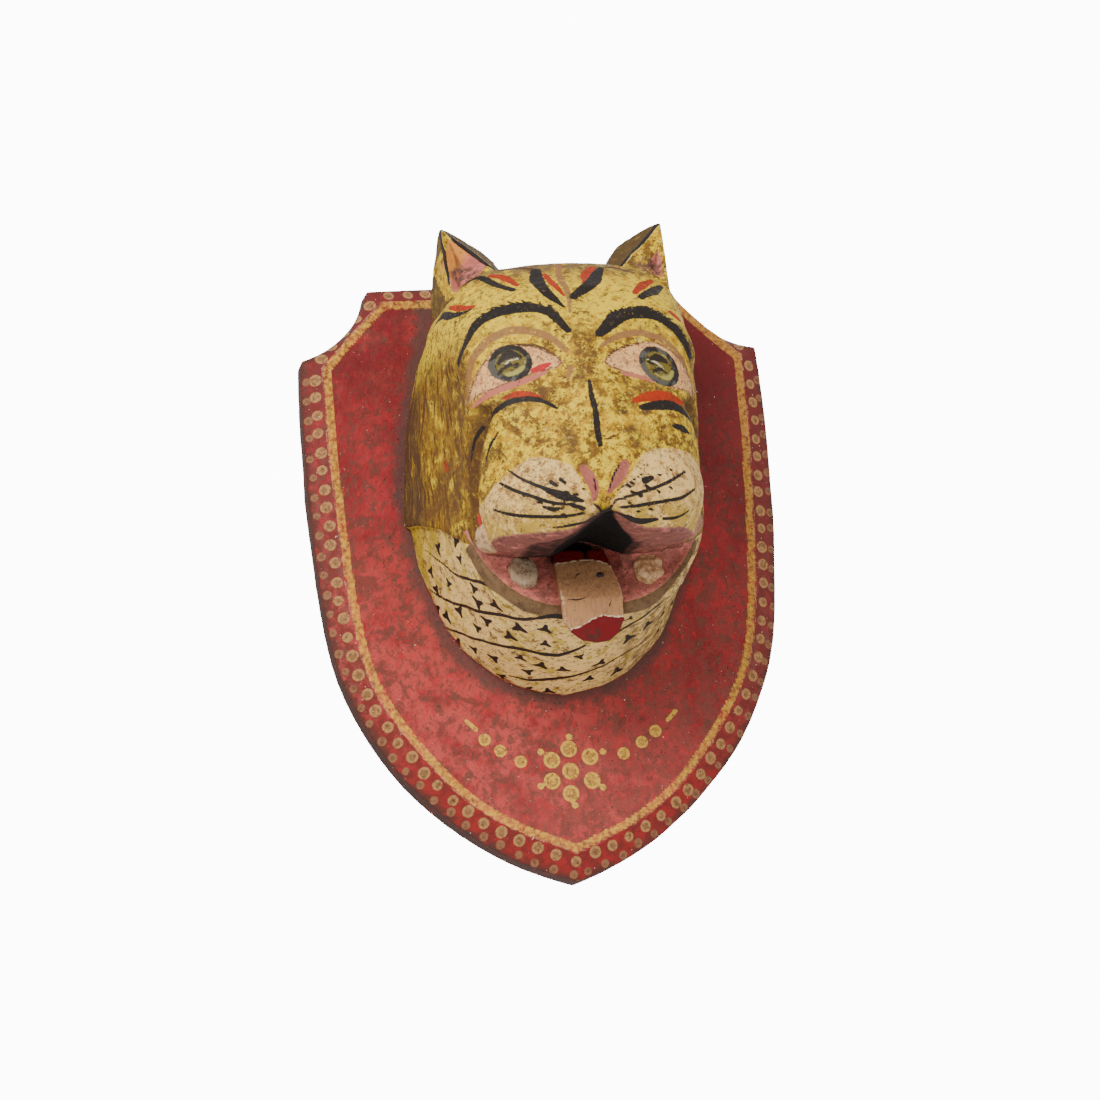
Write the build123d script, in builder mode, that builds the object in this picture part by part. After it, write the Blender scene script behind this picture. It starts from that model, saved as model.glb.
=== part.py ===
"""Carved and painted tiger head trophy on a shield-shaped plaque.

Frame: millimetres, +Z up, +X to the viewer's right, the face looks along -Y.
The plaque's back face lies in the plane Y = 0, with the origin on its middle line at half height.
"""
import os
from math import atan2, degrees

from build123d import *

os.makedirs("parts", exist_ok=True)

# ---- driving dimensions -------------------------------------------------------------------------
PLAQUE_T = 30.0  # thickness of the shield board
BEVEL_DROP = 9.0  # how far the border falls back from the front face
BEVEL_W = 15.0  # width of that sloping border, seen from the front
PLAQUE_TOP = 203.0
TOP_CORNER_LEFT = -110.0  # the board is cut by hand: its top corners aren't quite mirror images
TOP_CORNER_RIGHT = 100.0

TONGUE_W = 41.0
TONGUE_T = 7.0
TONGUE_BEND_R = 5.0
TONGUE_TIP_R = 12.0
CANINE_X = 41.5
CANINE_Z = -24.0
CANINE_R = 9.5
CANINE_SET = 13.0  # length of the peg inside the jaw
CANINE_PROUD = 9.0
CANINE_FOOT = 97.0  # distance ahead of the point where its axis meets the jaw
CANINE_LEAN = (0, -0.86, 0.51)
CANINE_NOSE = 0.45  # rounding of its nose, as a share of its radius
NAIL_X = 9.0
NAIL_HEAD_R = 3.2
NAIL_SHANK_R = 1.1
NAIL_HEAD_T = 1.2
NAIL_SHANK_L = 26.0
NAIL_FOOT = (102.5, -26.1)  # distance ahead and height of the point where it enters the tongue
NAIL_LEAN = (0, -0.8374, 0.5466)

HEAD_SCREWS_AT = [(-42, 84), (42, 84), (0, -38)]  # X, Z of the screws that hold the head
HEAD_SCREW_R = 2.2
HEAD_SCREW_HEAD_R = 4.6
HEAD_SCREW_LENGTH = 62.0
HEAD_SCREW_CONE = 3.5  # height of the countersunk head
HEAD_SCREW_SUNK = 1.5  # how far its top lies inside the board's back

POCKET_W = 46.0  # pocket in the plaque's back that takes the hanger
POCKET_H = 62.0
POCKET_DEPTH = 10.0
POCKET_CORNER_R = 6.0
HANGER_Z = 128.0  # height of the ring's hinge axis
STRAP_W = 16.0
STRAP_L = 24.0
STRAP_T = 1.0
STRAP_CORNER_R = 4.0
KNUCKLE_R = 2.6
KNUCKLE_BORE_R = 1.4
KNUCKLE_W = 13.0
RING_WIRE_R = 1.3
RING_HALF_W = 12.0
RING_DROP = 21.0
RING_CORNER_R = 3.0
HANGER_SCREW_R = 1.5
HANGER_SCREW_HEAD_R = 3.0
HANGER_SCREW_LENGTH = 12.0
HANGER_SCREW_DROPS = (9.5, 18.5)  # how far the strap's two screws are below the hinge axis
HANGER_SCREW_CONE = 1.8

FRONT = PLAQUE_T  # distance of the plaque's front face from the back plane


def ahead(distance):
    """The plane parallel to the wall that lies this far in front of the plaque's face."""
    return Plane.XZ.offset(FRONT + distance)


def mirrored_outline(points):
    """A closed outline from the points of its right half, listed from top to bottom."""
    return [*points, *[(-x, z) for x, z in reversed(points[1:-1])]]


# ---- ears: solid wedges, each with a foot let into the skull --------------------------------------
EAR_BACK = 58  # distance ahead of the ear's rear edge at its foot
EAR_DEPTH = 48
EAR_FRONT_VIEW = [
    (74, 215), (80, 172), (78, 148), (46, 148), (36, 184), (42, 193), (50, 202), (60, 210), (68, 215)
]
EAR_HOLLOW = [(71, 205), (74, 176), (49, 180)]
EAR_HOLLOW_START = 94  # distance ahead where the hollow begins
EAR_MIDDLE_X = 60
EAR_SLOPES = [
    [(EAR_BACK, 176), (84, 216), (40, 216), (40, 176)],
    [(106, 168), (91, 216), (120, 216), (120, 168)],
]
EAR_PLAN_TAPER = [(79.5, 50), (79.5, 58), (72.5, 108), (100, 108), (100, 50)]  # x, distance ahead
EAR_PLAN_HEIGHT = 180
EAR_REACH = 40  # more than half of the ear's width
EAR_HOLLOW_DEPTH = 16


def ear(side, name):
    """One ear: a five-sided wedge that narrows to a point, with a hollowed front face."""
    with BuildPart() as wedge:
        with BuildSketch(ahead(EAR_BACK)):
            Polygon(*[(side * x, z) for x, z in EAR_FRONT_VIEW], align=None)
        extrude(amount=EAR_DEPTH)
        for profile in EAR_SLOPES:
            with BuildSketch(Plane.YZ.offset(side * EAR_MIDDLE_X)) as slope:
                Polygon(*[(-FRONT - distance, z) for distance, z in profile], align=None)
            extrude(slope.sketch, amount=EAR_REACH, both=True, mode=Mode.SUBTRACT)
        with BuildSketch(Plane.XY.offset(EAR_PLAN_HEIGHT)) as plan:
            Polygon(*[(side * x, -FRONT - distance) for x, distance in EAR_PLAN_TAPER], align=None)
        extrude(plan.sketch, amount=EAR_DEPTH, both=True, mode=Mode.SUBTRACT)
        with BuildSketch(ahead(EAR_HOLLOW_START)):
            Polygon(*[(side * x, z) for x, z in EAR_HOLLOW], align=None)
        extrude(amount=EAR_HOLLOW_DEPTH, mode=Mode.SUBTRACT)
    wedge.part.label = name
    return wedge.part


left_ear = ear(-1, "left_ear")
right_ear = ear(1, "right_ear")


# ---- canines: round-nosed pegs driven into the slanting floor of the lower jaw -----------------------
def canine(side, name):
    """One peg tooth. Its axis leans down and forward, square to the jaw's pink face."""
    foot = (side * CANINE_X, -FRONT - CANINE_FOOT, CANINE_Z)
    axis = Plane(origin=foot, x_dir=(1, 0, 0), z_dir=CANINE_LEAN)
    with BuildPart() as peg:
        with BuildSketch(axis.offset(-CANINE_SET)):
            Circle(CANINE_R)
        extrude(amount=CANINE_SET + CANINE_PROUD)
        nose = peg.faces().filter_by(GeomType.PLANE).sort_by(Axis.Y)[0]
        fillet(nose.edges(), radius=CANINE_R * CANINE_NOSE)
    peg.part.label = name
    return peg.part


left_canine = canine(-1, "left_canine")
right_canine = canine(1, "right_canine")

# ---- tongue: a bent slab that lies on the jaw's floor and hangs over the lip ------------------------
TONGUE_TOP_LINE = [(70, -1.5), (90, -7), (113.5, -43), (115, -72)]  # distance ahead, height
with BuildPart() as tongue:
    with BuildSketch(Plane.YZ.offset(-TONGUE_W / 2)):
        with BuildLine():
            upper = FilletPolyline(*[(-FRONT - w, z) for w, z in TONGUE_TOP_LINE], radius=TONGUE_BEND_R)
            offset(upper, amount=-TONGUE_T, side=Side.LEFT)
        make_face()
    extrude(amount=TONGUE_W)
    tip_edges = tongue.edges().filter_by(Axis.Y, tolerance=20).group_by(Axis.Z)[0]
    fillet(tip_edges, radius=TONGUE_TIP_R)
tongue.part.label = "tongue"

# ---- the nail through the tongue into the jaw ------------------------------------------------------
nail_foot = (NAIL_X, -FRONT - NAIL_FOOT[0], NAIL_FOOT[1])
nail_seat = Plane(origin=nail_foot, x_dir=(1, 0, 0), z_dir=NAIL_LEAN)
with BuildPart() as tongue_nail:
    with BuildSketch(nail_seat):
        Circle(NAIL_HEAD_R)
    extrude(amount=NAIL_HEAD_T)
    with BuildSketch(nail_seat):
        Circle(NAIL_SHANK_R)
    extrude(amount=-NAIL_SHANK_L)
tongue_nail.part.label = "tongue_nail"

# ---- screws that hold the head, driven from behind -------------------------------------------------
with BuildPart() as head_screws:
    for x, z in HEAD_SCREWS_AT:
        with BuildSketch(Plane(origin=(x, -HEAD_SCREW_LENGTH, z), x_dir=(1, 0, 0), z_dir=(0, 1, 0))):
            Circle(HEAD_SCREW_R)
        extrude(amount=HEAD_SCREW_LENGTH - HEAD_SCREW_CONE)
        cone_middle = -HEAD_SCREW_SUNK - HEAD_SCREW_CONE / 2
        with Locations(Plane(origin=(x, cone_middle, z), x_dir=(1, 0, 0), z_dir=(0, 1, 0))):
            Cone(HEAD_SCREW_R, HEAD_SCREW_HEAD_R, HEAD_SCREW_CONE)
head_screws.part.label = "head_screws"

# ---- hanger: strap, ring and their screws ----------------------------------------------------------
POCKET_FLOOR = -POCKET_DEPTH
HINGE_Y = POCKET_FLOOR + KNUCKLE_R
STRAP_FACE = POCKET_FLOOR + STRAP_T
HANGER_SCREWS_Z = [HANGER_Z - drop for drop in HANGER_SCREW_DROPS]

with BuildPart() as hanger_screws:
    for z in HANGER_SCREWS_Z:
        tip_y = STRAP_FACE - HANGER_SCREW_LENGTH
        with BuildSketch(Plane(origin=(0, tip_y, z), x_dir=(1, 0, 0), z_dir=(0, 1, 0))):
            Circle(HANGER_SCREW_R)
        extrude(amount=HANGER_SCREW_LENGTH - HANGER_SCREW_CONE)
        cone_middle = STRAP_FACE - HANGER_SCREW_CONE / 2
        with Locations(Plane(origin=(0, cone_middle, z), x_dir=(1, 0, 0), z_dir=(0, 1, 0))):
            Cone(HANGER_SCREW_R, HANGER_SCREW_HEAD_R, HANGER_SCREW_CONE)
hanger_screws.part.label = "hanger_screws"

with BuildPart() as hanger_strap:
    with BuildSketch(Plane(origin=(0, POCKET_FLOOR, HANGER_Z), x_dir=(1, 0, 0), z_dir=(0, 1, 0))):
        with Locations((0, STRAP_L / 2)):
            RectangleRounded(STRAP_W, STRAP_L, STRAP_CORNER_R)
    extrude(amount=STRAP_T)
    with BuildSketch(Plane.YZ.offset(-KNUCKLE_W / 2)):
        with Locations((HINGE_Y, HANGER_Z)):
            Circle(KNUCKLE_R)
    extrude(amount=KNUCKLE_W)
    with BuildSketch(Plane.YZ.offset(-STRAP_W / 2)):
        with Locations((HINGE_Y, HANGER_Z)):
            Circle(KNUCKLE_BORE_R)
    extrude(amount=STRAP_W, mode=Mode.SUBTRACT)
    add(hanger_screws.part, mode=Mode.SUBTRACT)
hanger_strap.part.label = "hanger_strap"

ring_plane = Plane(origin=(0, HINGE_Y, HANGER_Z), x_dir=(1, 0, 0), z_dir=(0, -1, 0))
with BuildPart() as hanger_ring:
    with BuildLine(ring_plane) as ring_path:
        bar = Line((-RING_HALF_W, 0), (RING_HALF_W, 0))
        bow = ThreePointArc((RING_HALF_W, 0), (0, -RING_DROP), (-RING_HALF_W, 0))
        fillet(ring_path.vertices(), radius=RING_CORNER_R)
    with BuildSketch(Plane(origin=(0, HINGE_Y, HANGER_Z), z_dir=(1, 0, 0))):
        Circle(RING_WIRE_R)
    sweep(path=ring_path.wires()[0])
hanger_ring.part.label = "hanger_ring"


# ---- shield plaque ---------------------------------------------------------------------------------
# The right flank of the board: corners where three smooth bows meet, with a point on each bow.
FLANK = [(158, 155), (160, 80), (154, -28), (136, -92), (93, -152), (52, -184.5), (0, -208)]
SHOULDER_RIGHT = (120, 171.5)  # a point on each scooped shoulder
SHOULDER_LEFT = (-129, 170.5)


def bow(start, middle, end, mirrored=False):
    """One smooth bow of the outline, or its mirror image drawn the other way round."""
    if mirrored:
        start, middle, end = [(-x, z) for x, z in (end, middle, start)]
    ThreePointArc(start, middle, end)


def draw_outline():
    """The board's outline: a straight top, scooped shoulders and flanks that bow in to a point."""
    Line((TOP_CORNER_LEFT, PLAQUE_TOP), (TOP_CORNER_RIGHT, PLAQUE_TOP))
    bow((TOP_CORNER_RIGHT, PLAQUE_TOP), SHOULDER_RIGHT, FLANK[0])
    for first in (0, 2, 4):
        bow(*FLANK[first : first + 3])
    for first in (4, 2, 0):
        bow(*FLANK[first : first + 3], mirrored=True)
    bow((-FLANK[0][0], FLANK[0][1]), SHOULDER_LEFT, (TOP_CORNER_LEFT, PLAQUE_TOP))


with BuildPart() as shield_plaque:
    edge_height = PLAQUE_T - BEVEL_DROP
    with BuildSketch(Plane.XZ):
        with BuildLine():
            draw_outline()
        make_face()
    extrude(amount=edge_height)
    with BuildSketch(Plane.XZ.offset(edge_height)):
        with BuildLine():
            draw_outline()
        make_face()
    extrude(amount=BEVEL_DROP, taper=degrees(atan2(BEVEL_W, BEVEL_DROP)))
    with BuildSketch(Plane.XZ):
        with Locations((0, HANGER_Z)):
            RectangleRounded(POCKET_W, POCKET_H, POCKET_CORNER_R)
    extrude(amount=POCKET_DEPTH, mode=Mode.SUBTRACT)
    add(head_screws.part, mode=Mode.SUBTRACT)
    add(hanger_screws.part, mode=Mode.SUBTRACT)
shield_plaque.part.label = "shield_plaque"

# ---- head: cranium, neck and lower jaw carved from one block ----------------------------------------
# Each row: distance in front of the plaque, then the right half of the outline from top to bottom.
BLOCK = [
    (0, [(0, 172), (52, 170), (78, 152), (92, 100), (97, 52), (91, 0), (70, -50), (38, -77), (0, -86)]),
    (60, [(0, 181), (54, 180), (82, 163), (89, 105), (90, 50), (83, 0), (63, -42), (34, -66), (0, -75)]),
    (108, [(0, 184), (52, 181), (77, 162), (81, 105), (79, 50), (74, 0), (60, -34), (32, -51), (0, -56)]),
    (140, [(0, 158), (45, 154), (70, 136), (76, 100), (76, 50), (73, 5), (58, -22), (32, -34), (0, -38)]),
    (162, [(0, 128), (34, 124), (56, 108), (62, 80), (62, 50), (66, 14), (54, -12), (32, -20), (0, -22)]),
    (176, [(0, 95), (12, 92), (26, 78), (34, 60), (42, 40), (46, 18), (36, -6), (22, -12), (0, -12)]),
    (186, [(0, 50), (7, 48), (14, 42), (18, 34), (20, 26), (18, 14), (13, 4), (7, 0), (0, -1)]),
]
LIP_FRONT = 108  # distance ahead of the lower lip, well behind the upper one
# Side profile of the open mouth, in distance ahead and height. It is cut right across in front of
# the lower lip, and between the cheeks behind it.
UNDER_MUZZLE = [(LIP_FRONT, -12), (150, -14), (172, -9), (200, -2), (200, -90), (LIP_FRONT, -90)]
MOUTH = [(62, 2), (112, -2), (150, -12), (150, -43), (LIP_FRONT, -43), (85, -6), (62, -6)]
MOUTH_HALF_W = 60
WIDER_THAN_HEAD = 120


def cut_profile(profile, half_width):
    """Cut a side profile out of the block, that far to each side of its middle plane."""
    with BuildSketch(Plane.YZ) as side_view:
        Polygon(*[(-FRONT - distance, z) for distance, z in profile], align=None)
    extrude(side_view.sketch, amount=half_width, both=True, mode=Mode.SUBTRACT)


with BuildPart() as head:
    for distance, points in BLOCK:
        with BuildSketch(ahead(distance)):
            Polygon(*mirrored_outline(points), align=None)
    loft(ruled=True)
    cut_profile(UNDER_MUZZLE, WIDER_THAN_HEAD)
    cut_profile(MOUTH, MOUTH_HALF_W)
    for let_in in (left_ear, right_ear, left_canine, right_canine, tongue.part, tongue_nail.part):
        add(let_in, mode=Mode.SUBTRACT)
    add(head_screws.part, mode=Mode.SUBTRACT)
head.part.label = "head"

with BuildPart() as drilled_tongue:
    add(tongue.part)
    add(tongue_nail.part, mode=Mode.SUBTRACT)
drilled_tongue.part.label = "tongue"

pieces = [
    shield_plaque.part,
    head.part,
    left_ear,
    right_ear,
    left_canine,
    right_canine,
    drilled_tongue.part,
    tongue_nail.part,
    head_screws.part,
    hanger_strap.part,
    hanger_ring.part,
    hanger_screws.part,
]
for piece in pieces:
    export_step(piece, f"parts/{piece.label}.step")
    print(piece.label, len(piece.solids()), "solids", round(piece.volume), "mm3")
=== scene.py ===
"""Looks of a carved and painted tiger head trophy on a shield-shaped plaque.

Lengths inside this script are in millimetres as (x, w, z): x to the right, w ahead of the plaque's
front face, z up. The row frame is (x, -(PLAQUE_T + w), z), in metres.
"""

import math

import bpy
import numpy as np
import openvdb
from mathutils import Matrix, Vector
from mathutils.bvhtree import BVHTree


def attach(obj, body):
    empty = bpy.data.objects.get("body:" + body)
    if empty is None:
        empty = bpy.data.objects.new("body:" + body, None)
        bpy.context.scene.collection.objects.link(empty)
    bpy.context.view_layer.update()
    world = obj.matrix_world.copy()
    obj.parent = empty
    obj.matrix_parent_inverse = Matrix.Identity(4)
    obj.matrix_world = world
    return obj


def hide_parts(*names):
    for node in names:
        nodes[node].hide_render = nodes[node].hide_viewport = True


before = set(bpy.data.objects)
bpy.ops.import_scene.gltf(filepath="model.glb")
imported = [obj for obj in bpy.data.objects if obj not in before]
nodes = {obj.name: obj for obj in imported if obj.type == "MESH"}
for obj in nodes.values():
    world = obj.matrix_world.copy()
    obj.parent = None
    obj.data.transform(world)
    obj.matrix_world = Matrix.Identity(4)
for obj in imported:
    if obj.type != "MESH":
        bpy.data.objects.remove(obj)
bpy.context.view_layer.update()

MM = 0.001
PLAQUE_T = 30.0
FAR = 30.0  # paint distance of a point that is far from every stroke


# ---- small numeric helpers ----
def ease(value, low, high):
    """0 below low, 1 above high, smooth between."""
    t = np.clip((value - low) / (high - low), 0, 1)
    return t * t * (3 - 2 * t)


def soften(values, sigma, axis):
    """A Gaussian blur along one axis, sigma in cells."""
    reach = int(math.ceil(sigma * 2.5))
    weights = np.exp(-0.5 * (np.arange(-reach, reach + 1) / sigma) ** 2)
    weights /= weights.sum()
    margins = [(reach, reach) if a == axis else (0, 0) for a in range(values.ndim)]
    padded = np.pad(values, margins, "edge")
    length = values.shape[axis]
    result = np.zeros_like(values)
    for shift, weight in enumerate(weights):
        result += weight * padded.take(range(shift, shift + length), axis)
    return result


def union(a, b, round_by):
    """Two solids melted together over a fillet of about that size."""
    mix = np.clip(round_by - np.abs(a - b), 0, None) / round_by
    return np.minimum(a, b) - mix * mix * round_by / 4


def common(a, b, round_by):
    """What two solids share."""
    return -union(-a, -b, round_by)


def cut(a, b, round_by):
    """What is left of a solid when another one is taken from it."""
    return common(a, -b, round_by)


def hill(*slopes):
    """1 at the middle of a smooth hill; each slope is an (offset from it, spread)."""
    return np.exp(-sum((offset / spread) ** 2 for offset, spread in slopes))


def ellipsoid(place, centre, radii):
    """Signed distance to an ellipsoid, exact near its skin."""
    k0 = np.sqrt(sum(((p - c) / r) ** 2 for p, c, r in zip(place, centre, radii)))
    k1 = np.sqrt(sum(((p - c) / r**2) ** 2 for p, c, r in zip(place, centre, radii)))
    return k0 * (k0 - 1) / np.maximum(k1, 1e-6)


def line_distance(u, v, points, closed=False):
    """Distance in a plane from each (u, v) to a polyline, and the side of a closed one."""
    best = np.full(np.broadcast(u, v).shape, 1e9, np.float32)
    inside = np.zeros(best.shape, bool)
    ends = points[1:] + points[:1] if closed else points[1:]
    for (u0, v0), (u1, v1) in zip(points, ends):
        du, dv = u1 - u0, v1 - v0
        t = np.clip(((u - u0) * du + (v - v0) * dv) / max(du * du + dv * dv, 1e-9), 0, 1)
        best = np.minimum(best, (u - u0 - t * du) ** 2 + (v - v0 - t * dv) ** 2)
        if closed and dv:
            inside ^= ((v0 > v) != (v1 > v)) & (u < (v - v0) * du / dv + u0)
    distance = np.sqrt(best)
    return np.where(inside, -distance, distance) if closed else distance


def smooth_line(points, step=2.0):
    """Points along a smooth curve through the given ones, about that far apart."""
    p = np.array(points, float)
    p = np.vstack([2 * p[0] - p[1], p, 2 * p[-1] - p[-2]])
    found = []
    for a, b, c, d in zip(p, p[1:], p[2:], p[3:]):
        count = max(2, int(np.linalg.norm(c[:3] - b[:3]) / step) + 1)
        t = np.linspace(0, 1, count, endpoint=False)[:, None]
        bend = (2 * a - 5 * b + 4 * c - d) * t**2 + (3 * b - a - 3 * c + d) * t**3
        found.append(0.5 * (2 * b + (c - a) * t + bend))
    return np.vstack([*found, p[-2:-1]])


# ---- clay: a solid kept as signed distances on a grid ----
class Clay:
    """A grid with its axes along (x, w, z), and room for a solid's signed distances."""

    def __init__(self, low, high, pitch, seed):
        self.low = np.array(low, float)
        self.pitch = pitch
        self.axes = [np.arange(a, b + pitch, pitch, dtype=np.float32) for a, b in zip(low, high)]
        self.shape = tuple(len(a) for a in self.axes)
        self.random = np.random.default_rng(seed)
        x, w, z = self.axes
        self.x, self.w, self.z = x[:, None, None], w[None, :, None], z[None, None, :]
        self.place = (self.x, self.w, self.z)
        self.field = None

    def lumps(self, cell):
        """Smooth random hills of that size in mm, about -1 to 1."""
        counts = [int(len(a) * self.pitch / cell) + 3 for a in self.axes]
        values = self.random.normal(0, 0.6, counts).astype(np.float32)
        for axis, size in enumerate(self.shape):
            at = np.arange(size) * self.pitch / cell
            whole = at.astype(int)
            part = ease(at - whole, 0, 1).astype(np.float32)
            part = part.reshape([-1 if a == axis else 1 for a in range(3)])
            values = values.take(whole, axis) * (1 - part) + values.take(whole + 1, axis) * part
        return values

    def mesh(self, name):
        """The solid's skin as a Blender object, with how hollow or proud each point lies."""
        band = 3 * self.pitch
        grid = openvdb.FloatGrid(band)
        field = np.clip(np.broadcast_to(self.field, self.shape), -band, band)
        grid.copyFromArray(field.astype(np.float32))
        points, quads = grid.convertToQuads(isovalue=0.0)
        at = points.astype(float)
        filled = np.clip(0.5 - self.field / (2 * self.pitch), 0, 1).astype(np.float32)
        hollows = {}
        for label, spread in (("hollow_fine", 2.2), ("hollow_wide", 8.0)):
            blurred = filled
            for axis in range(3):
                blurred = soften(blurred, spread / self.pitch, axis)
            hollows[label] = self.sample(blurred, at) - 0.5
        place = at * self.pitch + self.low
        data = bpy.data.meshes.new(name)
        data.vertices.add(len(place))
        data.vertices.foreach_set("co", row_frame(place).astype(np.float32).ravel())
        data.loops.add(quads.size)
        data.loops.foreach_set("vertex_index", quads[:, ::-1].astype(np.int32).ravel())
        data.polygons.add(len(quads))
        data.polygons.foreach_set("loop_start", np.arange(0, quads.size, 4, dtype=np.int32))
        data.polygons.foreach_set("use_smooth", np.ones(len(quads), bool))
        data.update(calc_edges=True)
        data.validate()
        obj = bpy.data.objects.new(name, data)
        bpy.context.scene.collection.objects.link(obj)
        store(obj, **hollows)
        return obj, place

    def sample(self, values, at):
        """Values of the grid at places between its points."""
        base = np.clip(at.astype(int), 0, np.array(self.shape) - 2)
        part = at - base
        total = 0
        for i, j, k in np.ndindex(2, 2, 2):
            share = np.abs(1 - i - part[:, 0]) * np.abs(1 - j - part[:, 1]) * np.abs(1 - k - part[:, 2])
            total = total + share * values[base[:, 0] + i, base[:, 1] + j, base[:, 2] + k]
        return total


def row_frame(place):
    """(x, w, z) in mm as points of the row frame in metres."""
    place = np.atleast_2d(place)
    return np.column_stack([place[:, 0], -(PLAQUE_T + place[:, 1]), place[:, 2]]) * MM


def store(obj, **layers):
    """Keep one value per point under each name, for the materials."""
    for label, values in layers.items():
        attribute = obj.data.attributes.new(label, "FLOAT", "POINT")
        attribute.data.foreach_set("value", np.ascontiguousarray(values, np.float32))


def normals_of(obj):
    found = np.zeros(len(obj.data.vertices) * 3, np.float32)
    obj.data.vertices.foreach_get("normal", found)
    return found.reshape(-1, 3)


# ---- the head's block: half outlines at distances ahead of the plaque ----
# Each row: w, z of the outline's centre, then (x, z) of its right half from top to bottom.
ROOT = [(0, 172), (52, 170), (78, 152), (92, 100), (97, 52), (91, 0), (70, -50), (38, -77), (0, -86)]
BLOCK = [
    (-6, 50, ROOT),
    (0, 50, ROOT),
    (60, 55, [(0, 181), (54, 180), (82, 163), (89, 105), (90, 50), (83, 0), (63, -42), (34, -66), (0, -75)]),
    (108, 60, [(0, 184), (52, 181), (77, 162), (81, 105), (79, 50), (74, 0), (60, -34), (32, -51), (0, -56)]),
    (140, 58, [(0, 158), (45, 154), (70, 136), (75, 100), (74, 50), (69, 5), (56, -22), (32, -34), (0, -38)]),
    (162, 50, [(0, 128), (34, 124), (56, 108), (62, 80), (61, 50), (62, 14), (52, -12), (32, -20), (0, -22)]),
    (176, 40, [(0, 95), (12, 92), (26, 78), (34, 60), (42, 40), (46, 18), (36, -6), (22, -12), (0, -12)]),
    (187, 26, [(0, 50), (7, 48), (14, 42), (18, 34), (20, 26), (18, 14), (13, 4), (7, 0), (0, -1)]),
]
HEAD_FRONT = 185.5
LIP_FRONT = 108.0
# Side view (w, z) of the ruff's lower edge, where the cheeks stand proud of the neck.
RUFF_EDGE = [(-10, 36), (20, 31), (42, 25), (69, 16), (93, 5), (106, -3), (114, -8)]


def lip_height(x):
    """Height of the lower lip's edge: a deep U across the jaw."""
    return -45 + 36 * (np.abs(x) / 70) ** 3.2


def mouth_floor(x, w, z):
    """Signed distance to what lies below the mouth's floor, which rises from the lip inwards."""
    return (lip_height(x) + 1.6 * (LIP_FRONT - w) - z) / 1.9


def roof_height(x):
    """Height of the mouth's roof: flat under each pad, with a notch below the nose."""
    return 11 * np.exp(-((x / 15) ** 2)) + 4 * (x / 62) ** 4 - 14


def mouth_side(x, w):
    """How far outside the cavity a point lies sideways: narrow at the back, wide at the lips."""
    return np.abs(x + 5) - 30 - 50 * ease(w, 96, 107)


def loft(clay, rows):
    """Signed distance to a body whose outline changes smoothly along w."""
    turns = np.linspace(0, math.pi, 241)
    w_axis = clay.axes[1]
    radii = []
    for _, centre, points in rows:
        runs = [np.linspace(a, b, 24, endpoint=False) for a, b in zip(points, points[1:])]
        dense = np.vstack([*runs, points[-1:]])
        angle = np.arctan2(dense[:, 0], dense[:, 1] - centre)
        radii.append(np.interp(turns, angle, np.hypot(dense[:, 0], dense[:, 1] - centre)))
    stations = [row[0] for row in rows]
    fine = np.array([np.interp(w_axis, stations, column) for column in np.array(radii).T]).T
    fine = soften(soften(fine, 5.0 / clay.pitch, 0), 8.0, 1)
    centre = np.interp(w_axis, stations, [row[1] for row in rows]).astype(np.float32)[None, :, None]
    rho = np.hypot(clay.x, clay.z - centre)
    turn = np.arctan2(np.abs(clay.x), clay.z - centre) * (len(turns) - 1) / math.pi
    low = np.clip(turn.astype(int), 0, len(turns) - 2)
    part = turn - low
    rows_at = np.arange(len(w_axis))[None, :, None]
    slope_w = np.gradient(fine, clay.pitch, axis=0)
    slope_t = np.gradient(fine, turns[1], axis=1) / fine

    def look_up(table):
        table = table.astype(np.float32)
        return table[rows_at, low] * (1 - part) + table[rows_at, low + 1] * part

    steepness = np.sqrt(1 + look_up(slope_t) ** 2 + np.clip(look_up(slope_w), -3, 3) ** 2)
    return (rho - look_up(fine)) / steepness


BROW = [(10, 118), (24, 132), (43, 139), (60, 132), (76, 112)]
NOSTRIL_GROOVE = [(14, 27), (10, 17), (4.5, 7)]
CHEEK_GROOVE = [(150, 70), (138, 52), (128, 30), (122, 10), (117, -10)]  # w, z
LIP_CORNERS = [(-63, 113, 0), (68, 115, 4)]
HEAD_PITCH, PLAQUE_PITCH, EAR_PITCH, TONGUE_PITCH, PEG_PITCH, NAIL_PITCH = 1.56, 1.64, 0.8, 0.7, 0.6, 0.35


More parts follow.
